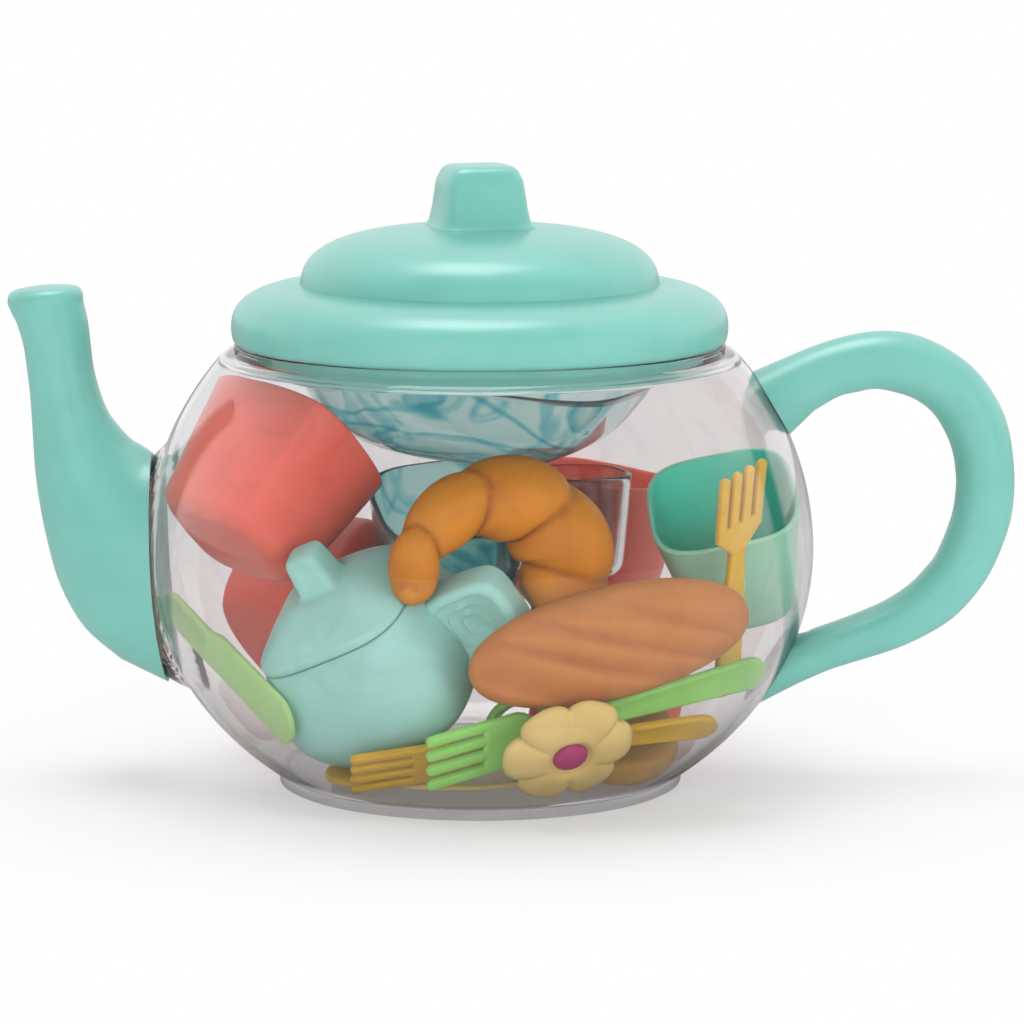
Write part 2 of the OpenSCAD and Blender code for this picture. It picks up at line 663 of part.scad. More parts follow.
// Croissant: a bent roll whose half thickness swells between creases
croissant_shares = [
  [-0.45, -0.12, 0.28], [-0.46, 0.06, 0.48], [-0.39, 0.26, 0.64], [-0.22, 0.43, 0.84], [0.02, 0.48, 1],
  [0.23, 0.38, 1.06], [0.35, 0.17, 1], [0.37, -0.03, 0.74], [0.34, -0.15, 0.3]];
croissant_rolls = 6;
croissant_steps = 3;
croissant_place_shares = [0.043, -0.482, -0.068];
croissant_lean_angles = [82, 294, 0];
function croissant_rows() =
  curve([for (s = croissant_shares)
    [s[0] * croissant_span, s[1] * croissant_span, s[2] * croissant_half]], croissant_steps);
function roll_ring(p, d, r, n) =
  let (l = norm([d[0], d[1]]), ux = d[1] / l, uy = -d[0] / l)
  [for (i = [0:n - 1]) let (a = 360 * i / n) [p[0] + r * cos(a) * ux, p[1] + r * cos(a) * uy, -r * sin(a)]];
module croissant() {
  p = croissant_rows();
  m = len(p);
  color("#c0812f")
  put(croissant_place_shares, croissant_lean_angles)
    capped([for (k = [0:m - 1])
      let (d = row(p, k + 1) - row(p, k - 1),
        crease = croissant_crease * pow(1 - abs(sin(180 * croissant_rolls * k / (m - 1))), 2),
        r = max(p[k][2] - (k > 0 && k < m - 1 ? crease : 0), croissant_crease))
      roll_ring(p[k], d, r, tube_sides)]);
}

// Loaf: a flattened roll with slanting slashes on its front
loaf_slashes = 4;
loaf_place_shares = [0.368, -0.626, -0.176];
loaf_lean_angles = [90, 280, 22];
loaf_rings = 22;
loaf_slant = 70;
loaf_end_share = 0.35;
loaf_full = 0.45;
function loaf_ring(k) =
  let (t = -cos(180 * (k + loaf_end_share) / (loaf_rings - 1 + 2 * loaf_end_share)),
    s = pow(max(0, 1 - t * t), loaf_full))
  [for (i = [0:tube_sides - 1])
    let (a = 360 * i / tube_sides, face = max(0, cos(a)),
      slash = loaf_slash * face * pow(max(0, cos(180 * loaf_slashes * t + loaf_slant * sin(a))), 4))
    [t * loaf_l / 2, s * loaf_w / 2 * sin(a), s * (loaf_t / 2 - slash) * cos(a)]];
module loaf() {
  color("#c5824e")
  put(loaf_place_shares, loaf_lean_angles)
    capped([for (k = [0:loaf_rings - 1]) loaf_ring(loaf_rings - 1 - k)]);
}

// Biscuit: a thick disc with a rounded edge
biscuit_round = 2.5;
biscuit_place_shares = [0.409, -0.257, -0.538];
biscuit_lean_angles = [25, 270, 0];
module biscuit() {
  color("#ab8a4c")
  put(biscuit_place_shares, biscuit_lean_angles)
    rotate_extrude()
    polygon(concat([[0, -biscuit_t / 2]],
      [for (q = [0:22.5:90])
        [biscuit_r - biscuit_round * (1 - sin(q)), -biscuit_t / 2 + biscuit_round * (1 - cos(q))]],
      [for (q = [90:-22.5:0])
        [biscuit_r - biscuit_round * (1 - sin(q)), biscuit_t / 2 - biscuit_round * (1 - cos(q))]],
      [[0, biscuit_t / 2]]));
}

// Cutlery: cut from flat outlines, with the handle's end to +X
fork_head_share = 0.36;
neck_share = 0.72;
module fork_shape(l) {
  head = l * fork_head_share;
  x0 = -l / 2;
  tine = (fork_w - 3 * tine_gap) / 4;
  root = x0 + tine_l;
  shoulder = x0 + head * neck_share;
  translate([0, 0, -cutlery_t / 2])
  linear_extrude(height = cutlery_t)
    difference() {
      union() {
        polygon([[root, -fork_w / 2], [shoulder, -fork_w / 2], [x0 + head, -fork_neck_w / 2],
          [l / 2 - fork_handle_w / 2, -fork_handle_w / 2],
          [l / 2 - fork_handle_w / 2, fork_handle_w / 2],
          [x0 + head, fork_neck_w / 2], [shoulder, fork_w / 2], [root, fork_w / 2]]);
        translate([l / 2 - fork_handle_w / 2, 0]) circle(r = fork_handle_w / 2);
        for (i = [0:3]) {
          y = -fork_w / 2 + tine / 2 + i * (tine + tine_gap);
          translate([x0 + tine / 2, y]) circle(r = tine / 2);
          translate([x0 + tine / 2, y - tine / 2]) square([tine_l, tine]);
        }
      }
      for (i = [0:2]) {
        y = -fork_w / 2 + tine + tine_gap / 2 + i * (tine + tine_gap);
        translate([root, y]) circle(r = tine_gap / 2);
      }
    }
}
module green_fork() {
  color("#84bf65") put(green_fork_place_shares, green_fork_lean_angles) fork_shape(fork_l);
}
module yellow_fork() {
  color("#c9a63f") put(yellow_fork_place_shares, yellow_fork_lean_angles) fork_shape(fork_l);
}
module side_fork() {
  color("#d9b552") put(side_fork_place_shares, side_fork_lean_angles) fork_shape(side_fork_l);
}
green_fork_place_shares = [0.342, -0.482, -0.418];
green_fork_lean_angles = [115, 296, 38];
yellow_fork_place_shares = [0.158, -0.47, -0.517];
yellow_fork_lean_angles = [136, 284, 23];
side_fork_place_shares = [0.746, -0.29, -0.066];
side_fork_lean_angles = [107, 319, -25];
knife_handle_share = 0.42;
knife_handle_w_share = 0.72;
module knife_shape() {
  x0 = -knife_l / 2;
  hw = knife_w * knife_handle_w_share / 2;
  neck = knife_l / 2 - knife_l * knife_handle_share;
  translate([0, 0, -cutlery_t / 2])
  linear_extrude(height = cutlery_t)
    union() {
      polygon([[x0 + knife_w / 2, -knife_w / 2], [neck, -knife_w / 2], [neck + hw, -hw],
        [knife_l / 2 - hw, -hw], [knife_l / 2 - hw, hw], [x0 + knife_w / 2, hw]]);
      translate([knife_l / 2 - hw, 0]) circle(r = hw);
      translate([x0 + knife_w / 2, 0])
        intersection() {
          circle(r = knife_w / 2);
          translate([-knife_w, -knife_w]) square([knife_w + cut, knife_w + hw]);
        }
    }
}
green_knife_place_shares = [-0.739, -0.332, -0.298];
green_knife_lean_angles = [101, 214, 98];
module green_knife() {
  color("#a5d08a") put(green_knife_place_shares, green_knife_lean_angles) knife_shape();
}
yellow_knife_place_shares = [-0.134, -0.259, -0.599];
yellow_knife_lean_angles = [10, 286, 27];
module yellow_knife() {
  color("#c9a63f") put(yellow_knife_place_shares, yellow_knife_lean_angles) knife_shape();
}

// Napkin ring with a flower bonded to its front
ring_place_shares = [0.126, -0.355, -0.502];
ring_lean_angles = [78, 260, 0];
module napkin_ring() {
  color("#72b75f")
  put(ring_place_shares, ring_lean_angles)
    difference() {
      cylinder(r = ring_r, h = ring_w, center = true);
      cylinder(r = ring_r - ring_wall, h = ring_w + 2 * cut, center = true);
    }
}
petals = 6;
petal_dip_share = 0.2;
eye_pocket_share = 0.35;
flower_place_shares = [0.242, -0.649, -0.459];
flower_lean_angles = [126, 290, 0];
flower_shares = [[0, 0.8], [0.12, 0.94], [0.35, 1], [0.6, 0.95], [0.82, 0.78], [0.94, 0.56], [1, 0.3]];
function petal_r(a) = flower_r * (1 - petal_dip_share * pow(1 - abs(sin(petals / 2 * a)), 2));
module flower_shape() {
  n = 12 * petals;
  capped([for (w = flower_shares)
    [for (i = [0:n - 1]) let (a = 360 * i / n, r = w[1] * petal_r(a))
      [r * cos(a), r * sin(a), w[0] * flower_t]]]);
}
module flower() {
  color("#e0c878")
  put(flower_place_shares, flower_lean_angles)
    difference() {
      flower_shape();
      translate([0, 0, flower_t * (1 - eye_pocket_share)])
        cylinder(r = flower_eye_r + bond, h = flower_t);
    }
}
module flower_eye() {
  color("#b8486c")
  put(flower_place_shares, flower_lean_angles)
    translate([0, 0, flower_t * (1 - eye_pocket_share) + bond])
    cylinder(r = flower_eye_r, h = flower_t * eye_pocket_share + flower_eye_t / 4);
}

bowl();
lid();
spout();
handle();
cup_left();
cup_low();
cup_back();
cup_right();
dish();
clear_cup();
beaker();
pot();
pot_lid();
creamer();
croissant();
loaf();
biscuit();
green_fork();
yellow_fork();
side_fork();
green_knife();
yellow_knife();
napkin_ring();
flower();
flower_eye();
saucer();
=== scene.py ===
# %% [markdown]
# # A clear toy teapot with a play tea set inside
# The real toy is a clear moulded bowl with a blue-green lid, spout and handle, and a heap of
# small play pieces seen through its wall. The heap and the wall matter most here: each piece is
# built as a smooth solid in the place that the frame gives it, and the wall has its real
# thickness, so that light bends in it as in the real one.

# %% The frame
import bpy, bmesh, math
from mathutils import Matrix, Vector, noise


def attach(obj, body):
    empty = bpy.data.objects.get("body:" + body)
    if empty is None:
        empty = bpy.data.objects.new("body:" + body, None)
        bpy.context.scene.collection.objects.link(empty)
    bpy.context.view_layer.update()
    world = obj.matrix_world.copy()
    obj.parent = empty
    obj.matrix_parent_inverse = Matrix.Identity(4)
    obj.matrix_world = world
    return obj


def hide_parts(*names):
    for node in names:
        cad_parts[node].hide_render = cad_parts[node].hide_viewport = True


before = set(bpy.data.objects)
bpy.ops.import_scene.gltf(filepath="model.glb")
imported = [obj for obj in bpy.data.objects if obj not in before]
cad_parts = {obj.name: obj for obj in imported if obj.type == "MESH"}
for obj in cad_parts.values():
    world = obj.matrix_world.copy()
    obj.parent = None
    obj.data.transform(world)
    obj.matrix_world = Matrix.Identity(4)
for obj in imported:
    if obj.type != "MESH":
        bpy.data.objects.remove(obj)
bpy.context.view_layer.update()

# %% [markdown]
# ## Lengths and places
# All sizes below are in millimetres, as a toy designer would write them, and one factor turns
# them into metres. Each loose piece lies where the frame has it: a share of the bowl's radius
# away from the middle, leaning by some degrees towards one side, and turned about its own axis.

# %% Lengths and places
MM = 0.001
BOWL_R, BOWL_MID, BOWL_UP, BOWL_DOWN, WALL = 111.0, 78.5, 102.0, 94.0, 2.2

def put(place, lean):
    turn = Matrix.Rotation(math.radians(lean[1]), 4, 'Z')
    turn = turn @ Matrix.Rotation(math.radians(lean[0]), 4, 'Y')
    turn = turn @ Matrix.Rotation(math.radians(lean[2] - lean[1]), 4, 'Z')
    middle = Vector((place[0] * BOWL_R, place[1] * BOWL_R, BOWL_MID + place[2] * BOWL_R))
    return Matrix.Translation(middle) @ turn

# %% [markdown]
# ## One way to make every skin
# Most pieces are skins over a row of rings, the way a potter stacks coils. bmesh joins each ring
# to the next with four-sided faces. A Screw modifier or a swept curve would make round pieces
# too, but rings worked out in Python may change their form from one to the next, as the square
# corners of a cup or the bend of a spout ask for. Shading is smooth, apart from edges that turn
# by more than the angle crisp, in degrees.

# %% Skins over rings
def skin(name, stacks, close_ends=True, loop=False):
    mesh = bpy.data.meshes.new(name)
    bm = bmesh.new()
    for rings in stacks:
        rows = [[bm.verts.new(Vector(p) * MM) for p in ring] for ring in rings]
        pairs = list(zip(rows, rows[1:])) + ([(rows[-1], rows[0])] if loop else [])
        for low, high in pairs:
            n = len(low)
            for i in range(n):
                bm.faces.new((low[i], low[(i + 1) % n], high[(i + 1) % n], high[i]))
        if close_ends and not loop:
            bm.faces.new(list(reversed(rows[0])))
            bm.faces.new(rows[-1])
    bmesh.ops.recalc_face_normals(bm, faces=bm.faces)
    bm.to_mesh(mesh)
    bm.free()
    obj = bpy.data.objects.new(name, mesh)
    bpy.context.scene.collection.objects.link(obj)
    return obj

def finish_piece(obj, node, material, matrix=None, crisp=None, body="pot_body"):
    if matrix is not None:
        scale = Matrix.Scale(MM, 4)
        obj.data.transform(scale @ matrix @ scale.inverted())
    for face in obj.data.polygons:
        face.use_smooth = True
    if crisp:
        obj.data.set_sharp_from_angle(angle=math.radians(crisp))
    obj.data.materials.append(material)
    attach(obj, body)
    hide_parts(node)
    print(node, obj.name, len(obj.data.vertices), "points")

# %% [markdown]
# Two curves come back all the time: a smooth line through rows of listed values, and the
# rounded square of the cups, the small pot and the knobs. The power SQUARE sets how square it is:
# 1 gives a circle and 0 a sharp corner. A ring with ridges is four shallow arcs, softened by it.

# %% Curves and rounded squares
def around(n):
    return [2 * math.pi * i / n for i in range(n)]

def quarter(n):
    return [math.radians(90 * k / n) for k in range(n + 1)]

def smooth_rows(rows, steps):
    def row(i):
        if i < 0:
            return [2 * a - b for a, b in zip(rows[0], rows[1])]
        if i >= len(rows):
            return [2 * a - b for a, b in zip(rows[-1], rows[-2])]
        return rows[i]
    out = []
    for i in range(len(rows) - 1):
        for s in range(steps):
            t = s / steps
            out.append([0.5 * (2 * b + t * (c - a) + t * t * (2 * a - 5 * b + 4 * c - d)
                               + t ** 3 * (3 * b - a - 3 * c + d))
                        for a, b, c, d in zip(row(i - 1), row(i), row(i + 1), row(i + 2))])
    return out + [rows[-1]]

def power(v, e):
    return math.copysign(abs(v) ** e, v)

SQUARE = 0.56

def square_ring(half, z, square=SQUARE, n=48):
    return [(half * power(math.cos(a), square), half * power(math.sin(a), square), z) for a in around(n)]

def ridge_ring(half, z, draw=0.17, soft=0.6, n=64):
    out = []
    for c, s in ((1, 0), (0, 1), (-1, 0), (0, -1)):
        for k in range(n // 4):
            t = -1 + 2 * k / (n // 4)
            a = t * math.pi / 4
            big = abs(math.cos(a)) ** (2 / SQUARE) + abs(math.sin(a)) ** (2 / SQUARE)
            round_x, round_y = (half * v / big ** (SQUARE / 2) for v in (math.cos(a), math.sin(a)))
            x = half * (1 - draw * t * t) * (1 - soft) + round_x * soft
            y = half * (1 - draw) * t * (1 - soft) + round_y * soft
            out.append((x * c - y * s, x * s + y * c, z))
    return out

# %% [markdown]
# ## Materials
# ### One helper
# A material here is a small tree of nodes. This helper adds one node, sets its sockets and joins
# it to others, so that each recipe below reads as a short list.

# %% Node helper and colours
def linear(hex_colour):
    def one(v):
        return v / 12.92 if v <= 0.04045 else ((v + 0.055) / 1.055) ** 2.4
    return tuple(one(int(hex_colour[i:i + 2], 16) / 255) for i in (1, 3, 5)) + (1.0,)

def add(tree, kind, settings=None, links=None):
    node = tree.nodes.new(kind)
    for key, value in (settings or {}).items():
        if isinstance(key, int) or key in node.inputs:
            node.inputs[key].default_value = value
        else:
            setattr(node, key, value)
    for key, source in (links or {}).items():
        tree.links.new(source, node.inputs[key])
    return node

def set_stops(ramp, *rows):
    for stop, (at, colour) in zip(ramp.color_ramp.elements, rows):
        stop.position, stop.color = at, linear(colour)

def new_tree(name):
    material = bpy.data.materials.new(name)
    material.use_nodes = True
    material.node_tree.nodes.clear()
    return material, material.node_tree

# %% [markdown]
# ### Moulded plastic
# The lid, spout, handle and the play pieces are injection moulded in ABS or polypropylene.
# Fresh from a fine-blasted mould such plastic is satin: soft wide highlights, no mirror image.
# Its colour is even, but the melt flows in faint swirls some 25 mm wide, and the surface has a
# skin-like grain. The real grain is about 0.1 mm, too fine to show here, so it is drawn at 1 mm.
# A little light also enters the plastic, which keeps its shaded side warm.

# %% Moulded plastic
def moulded(name, colour, deep, rough=0.4, swirl_mm=25.0, grain_mm=1.0, glow=0.08, gloss=0.5):
    material, tree = new_tree(name)
    here = {'Vector': add(tree, 'ShaderNodeTexCoord').outputs['Object']}
    swirl = add(tree, 'ShaderNodeTexNoise', {'Scale': 1000 / swirl_mm, 'Detail': 3.0, 'Distortion': 0.6},
                here)
    tone = add(tree, 'ShaderNodeValToRGB', links={'Fac': swirl.outputs['Fac']})
    set_stops(tone, (0.25, deep), (0.6, colour))
    grain = add(tree, 'ShaderNodeTexNoise', {'Scale': 1000 / grain_mm, 'Detail': 2.0}, here)
    shine = add(tree, 'ShaderNodeMapRange', {'To Min': rough - 0.04, 'To Max': rough + 0.06},
                {'Value': swirl.outputs['Fac']})
    bump = add(tree, 'ShaderNodeBump', {'Strength': 0.05, 'Distance': 0.0002},
               {'Height': grain.outputs['Fac']})
    skin_shader = add(tree, 'ShaderNodeBsdfPrincipled',
                      {'IOR': 1.5, 'Specular IOR Level': gloss, 'Subsurface Weight': glow,
                       'Subsurface Scale': 0.003},
                      {'Base Color': tone.outputs['Color'], 'Roughness': shine.outputs['Result'],
                       'Normal': bump.outputs['Normal']})
    add(tree, 'ShaderNodeOutputMaterial', links={'Surface': skin_shader.outputs['BSDF']})
    return material

blue_green_abs = moulded("blue_green_abs_moulded", "#7fcbc0", "#78c5b9", 0.30, gloss=1.0)
pale_green_abs = moulded("pale_blue_green_abs_moulded", "#a8e2d8", "#a0dbd0", 0.34)
coral_abs = moulded("coral_abs_moulded", "#fb725e", "#f66955", 0.34, glow=0.12)
sea_green_abs = moulded("sea_green_abs_moulded", "#4fdcc0", "#46d2b5", 0.34)
pale_sea_abs = moulded("pale_sea_green_abs_moulded", "#b4efd2", "#a8e7c8", 0.34)
leaf_green_pp = moulded("leaf_green_polypropylene", "#a2ea78", "#9ae370", 0.34)
pale_leaf_pp = moulded("pale_leaf_green_polypropylene", "#bdec98", "#b4e58f", 0.34)
yellow_pp = moulded("yellow_polypropylene", "#f0c032", "#e8b62b", 0.34)
cream_pp = moulded("cream_polypropylene", "#ecd894", "#e4cf88", 0.4)
petal_pp = moulded("petal_yellow_polypropylene", "#f0d489", "#e9cb7d", 0.4)
magenta_pp = moulded("magenta_polypropylene", "#c23f7c", "#b83873", 0.4)

# %% [markdown]
# ### Clear plastic
# The bowl is clear styrene, and the dish, a cup and a beaker are tinted styrene-acrylonitrile,
# all moulded against polished steel: no grain, sharp highlights, an index near 1.5. The tint
# lies in the depth of the plastic, so edges, where one looks along the wall, are darkest. The
# two blue-green pieces are also a little milky, which gives their walls a body of colour. Faint
# waves some 30 mm wide stay from the melt, and the dye gathers in thin flow lines some 45 mm
# apart. Shadow rays pass almost freely, because clear plastic barely shades what is behind it.

# %% Clear plastic
def clear(name, tint, depth, surface, line, shade, cloud=0.0, melt_mm=30.0, flow_mm=45.0):
    material, tree = new_tree(name)
    here = {'Vector': add(tree, 'ShaderNodeTexCoord').outputs['Object']}
    melt = add(tree, 'ShaderNodeTexNoise', {'Scale': 1000 / melt_mm, 'Detail': 1.0, 'Distortion': 0.4}, here)
    bump = add(tree, 'ShaderNodeBump', {'Strength': 0.04, 'Distance': 0.002},
               {'Height': melt.outputs['Fac']})
    flow = add(tree, 'ShaderNodeTexNoise', {'Scale': 1000 / flow_mm, 'Detail': 2.0, 'Distortion': 1.2}, here)
    lines = add(tree, 'ShaderNodeValToRGB', links={'Fac': flow.outputs['Fac']})
    set_stops(lines, (0.455, surface), (0.53, surface))
    lines.color_ramp.elements.new(0.5).color = linear(line)
    glass = add(tree, 'ShaderNodeBsdfPrincipled',
                {'Roughness': 0.015, 'IOR': 1.49, 'Transmission Weight': 1.0 - cloud},
                {'Base Color': lines.outputs['Color'], 'Normal': bump.outputs['Normal']})
    passing = add(tree, 'ShaderNodeBsdfTransparent',
                  {'Color': tuple(shade * c for c in linear(tint)[:3]) + (1,)})
    ray = add(tree, 'ShaderNodeLightPath')
    mix = add(tree, 'ShaderNodeMixShader', links={0: ray.outputs['Is Shadow Ray'],
              1: glass.outputs['BSDF'], 2: passing.outputs['BSDF']})
    out = add(tree, 'ShaderNodeOutputMaterial', links={'Surface': mix.outputs['Shader']})
    if depth:
        soak = add(tree, 'ShaderNodeVolumeAbsorption', {'Color': linear(tint), 'Density': depth})
        tree.links.new(soak.outputs['Volume'], out.inputs['Volume'])
    return material

clear_styrene = clear("clear_styrene_polished", "#ffffff", 0.0, "#eeecec", "#e9e6e7", 0.98)
tinted_san = clear("blue_green_tinted_san", "#78ded8", 60.0, "#effcfb", "#4accd8", 0.99, 0.08)
deep_san = clear("deep_blue_green_tinted_san", "#70cfca", 200.0, "#dcf6f5", "#4cc0ce", 0.98, 0.15)
pale_san = clear("pale_tinted_san", "#dde6e8", 35.0, "#fafafb", "#eef1f2", 0.97)

# %% [markdown]
# ## The bowl
# The bowl is moulded, but as round as if it were turned: one profile spun about the axis,
# outside up and inside down again, 2.2 mm apart. Where the spout is bonded on, both sides are
# raised into a pad, so that the wall keeps its thickness there. A spun profile with many steps is
# better here than a subdivided cage, because a clear wall shows any unevenness as a wobble in
# what is behind it.

# %% The bowl's wall
def bowl_radius(z, inset=0.0):
    half = (BOWL_UP if z > BOWL_MID else BOWL_DOWN) - inset
    return (BOWL_R - inset) * math.sqrt(max(0.0, 1 - ((z - BOWL_MID) / half) ** 2))

RIM_Z, NECK_R, NECK_H, FOOT_R, FOOT_H, FLOOR_T = 147.5, 81.38, 3.6, 67.3, 3.5, 3.4
SHOULDER_Z = RIM_Z - NECK_H
PAD_GAIN, PAD_UP, PAD_DOWN, PAD_EDGE, PAD_RAMP, PAD_FROM_R = 0.4, 151.0, 127.0, 3.0, 9.0, 60.0
SPOUT_Z, SPOUT_HALF_H, SPOUT_HALF_W = 71.8, 38.5, 26.0

def raised(x, y, z, inset=0.0):
    r = math.hypot(x, y)
    if x > 0:
        return x, y, z
    spread = math.hypot((z - SPOUT_Z) / (SPOUT_HALF_H + PAD_EDGE), y / (SPOUT_HALF_W + PAD_EDGE))
    if spread >= 1:
        return x, y, z
    half = PAD_UP if z > BOWL_MID else PAD_DOWN
    pad = (BOWL_R + PAD_GAIN) * math.sqrt(1 - ((z - BOWL_MID) / half) ** 2) - inset
    gain = max(0, pad - r) * min(1, (1 - spread) * PAD_RAMP)
    return x * (r + gain) / r, y * (r + gain) / r, z

# %% Spin the bowl
def spin(profile, turns=192, lift=None):
    rings = []
    for r, z in profile:
        ring = [(max(r, 0.01) * math.cos(a), max(r, 0.01) * math.sin(a), z) for a in around(turns)]
        rings.append([lift(*p) for p in ring] if lift and r > PAD_FROM_R else ring)
    return rings

# The profile runs from the middle of the foot over its edge, up the wall and round the rim
outside = [(0, 0), (FOOT_R - 8, 0), (FOOT_R - 0.8, 0), (FOOT_R - 0.2, 0.25), (FOOT_R, 0.9), (FOOT_R, 2.4)]
outside += [(bowl_radius(z), z) for z in [FOOT_H + (SHOULDER_Z - FOOT_H) * i / 90 for i in range(91)]]
outside += [(NECK_R + 0.35, SHOULDER_Z + 0.3), (NECK_R, SHOULDER_Z + 0.8), (NECK_R, RIM_Z - 0.6),
            (NECK_R - 0.2, RIM_Z - 0.15), (NECK_R - 0.6, RIM_Z)]
# and from the rim down the inside to the middle of the floor
inside = [(NECK_R - WALL + 0.6, RIM_Z), (NECK_R - WALL + 0.1, RIM_Z - 0.3), (NECK_R - WALL, RIM_Z - 1),
          (NECK_R - WALL, SHOULDER_Z - WALL / 2)]
inside += [(bowl_radius(z, WALL), z) for z in
           [SHOULDER_Z - WALL - (SHOULDER_Z - WALL - FLOOR_T - 2) * i / 80 for i in range(81)]]
floor_r = bowl_radius(FLOOR_T + 2, WALL)
inside += [(floor_r - 1.6, FLOOR_T + 0.5), (floor_r - 5, FLOOR_T), (30, FLOOR_T), (0, FLOOR_T)]

def raised_inside(x, y, z):
    return raised(x, y, z, WALL)

bowl = skin("bowl_wall", [spin(outside, lift=raised) + spin(inside, lift=raised_inside)])
finish_piece(bowl, "bowl", clear_styrene, crisp=50)

# %% [markdown]
# ## The lid
# The lid is one moulding in two rounded tiers, with a skirt that drops into the neck and a
# square knob with softened edges. The tiers are spun from one profile. The knob can't be spun,
# so it is a stack of rounded squares whose foot flares into the dome as a small fillet does.

# %% The lid
LID_Z, LID_R, EDGE_H, TIER_H, FLAT_R = RIM_Z + 0.2, 82.28, 4.5, 15.0, 52.0
DOME_R, DOME_H, DOME_SINK, SKIRT_H, SKIRT_PLAY = 59.5, 22.0, 3.0, 7.0, 0.5
TIER_SQUARE, DOME_SQUARE, TIER_END, DOME_START = 0.75, 0.7, 84, 4
SKIRT_R = NECK_R - WALL - SKIRT_PLAY
LID_MID = LID_Z + EDGE_H
DOME_Z = LID_MID + TIER_H - DOME_SINK
DOME_TOP = DOME_Z + DOME_H

def tier(inset, steps=28):
    out = []
    for k in range(steps + 1):
        a = math.radians(TIER_END * k / steps)
        r = FLAT_R + (LID_R - FLAT_R - inset) * math.cos(a) ** TIER_SQUARE
        if r > DOME_R - inset:
            out.append((r, LID_MID + (TIER_H - inset) * math.sin(a) ** TIER_SQUARE))
    return out

def dome(inset, steps=36):
    out = []
    for k in range(1, steps + 1):
        a = math.radians(DOME_START + (90 - DOME_START) * k / steps)
        r = (DOME_R - inset) * max(0.0, math.cos(a)) ** DOME_SQUARE
        out.append((r, DOME_Z + (DOME_H - inset) * math.sin(a) ** DOME_SQUARE))
    return out

# The skirt first, then the lid's rounded lower edge
lid_profile = [(SKIRT_R - WALL, LID_Z - SKIRT_H), (SKIRT_R - 0.4, LID_Z - SKIRT_H),
               (SKIRT_R, LID_Z - SKIRT_H + 0.4), (SKIRT_R, LID_Z - 0.1), (SKIRT_R + 0.2, LID_Z),
               (LID_R - 1.9, LID_Z), (LID_R - 1.1, LID_Z + 0.3), (LID_R - 0.45, LID_Z + 1.5),
               (LID_R - 0.12, LID_Z + 3.0)]
lid_profile += tier(0) + dome(0)
lid_under = [(SKIRT_R - WALL, LID_Z + WALL), (LID_R - WALL - 0.45, LID_MID)] + tier(WALL) + dome(WALL)
lid = skin("lid_tiers", [spin(lid_profile)[::-1] + spin(lid_under)], close_ends=False)
finish_piece(lid, "lid", blue_green_abs, crisp=60, body="lid_body")

# %% The knob
KNOB_SQUARE = 0.42

def knob_rings():
    foot, top, height, edge, turn = 30.4, 24.8, 20.0, 4.2, math.radians(14)
    # the fillet that flares into the dome, the tapering side, the rounded edge and the flat top
    rows = [(foot / 2 + 2.4, -1.4), (foot / 2 + 1.0, 0.1), (foot / 2 + 0.3, 1.2), (foot / 2 - 0.1, 2.6)]
    rows += [(foot / 2 + (top - foot) / 2 * t, height * t) for t in (0.3, 0.5, 0.66, 0.76)]
    for k in range(1, 7):
        a = math.radians(15 * k)
        rows.append((top / 2 - edge * (1 - math.cos(a)), height - edge * (1 - math.sin(a))))
    rows += [(5.0, height), (0.5, height)]
    out = []
    for half, up in rows:
        ring = square_ring(half, DOME_TOP + up, KNOB_SQUARE, 64)
        out.append([(x * math.cos(turn) - y * math.sin(turn), x * math.sin(turn) + y * math.cos(turn), z)
                    for x, y, z in ring])
    return out

knob = skin("lid_knob", [knob_rings()])
finish_piece(knob, "lid", blue_green_abs, body="lid_body")

# %% [markdown]
# ## Spout and handle
# Both are tubes with an oval section that changes along a bent line, bonded to the bowl. Each
# row of given values gives the outer edge, the inner edge and the half width of one section,
# as shares of the tube's own reach, height and half width, and a smooth line runs through them.
# The spout ends on the bowl's pad, and the handle's two feet end on the curve of the wall.

# %% The spout
def edge_ring(row, n=48):
    x0, z0, x1, z1, half = row
    return [((x0 + x1) / 2 + (x0 - x1) / 2 * math.cos(a), -half * math.sin(a),
             (z0 + z1) / 2 + (z0 - z1) / 2 * math.cos(a)) for a in around(n)]

SPOUT_REACH, SPOUT_RISE, SPOUT_HALF, BOND = 45.0, 133.0, 12.0, 0.15
spout_shares = [
    (0.44, 0.96, 0.995, 0.955, 1.02), (0.42, 0.93, 0.96, 0.927, 1.0), (0.406, 0.905, 0.928, 0.905, 0.98),
    (0.39, 0.855, 0.884, 0.852, 0.96), (0.37, 0.794, 0.861, 0.794, 0.96), (0.324, 0.732, 0.84, 0.727, 0.98),
    (0.265, 0.682, 0.828, 0.65, 1.02), (0.184, 0.644, 0.813, 0.546, 1.12), (0.102, 0.614, 0.784, 0.46, 1.25),
    (0.036, 0.6, 0.732, 0.363, 1.42), (-0.012, 0.59, 0.636, 0.246, 1.64), (-0.034, 0.584, 0.458, 0.138, 1.86),
    (-0.042, 0.581, 0.19, 0.058, 2.04)]
spout_tip_shares = [
    (0.66, 1.001, 0.76, 1.0, 0.2), (0.53, 1, 0.89, 0.992, 0.68), (0.47, 0.995, 0.95, 0.987, 0.86),
    (0.445, 0.982, 0.99, 0.975, 0.98)]

def spout_row(s):
    x, z = -(BOWL_R + PAD_GAIN), SPOUT_Z - SPOUT_HALF_H
    return (x - s[0] * SPOUT_REACH, z + s[1] * SPOUT_RISE, x - s[2] * SPOUT_REACH, z + s[3] * SPOUT_RISE,
            s[4] * SPOUT_HALF)

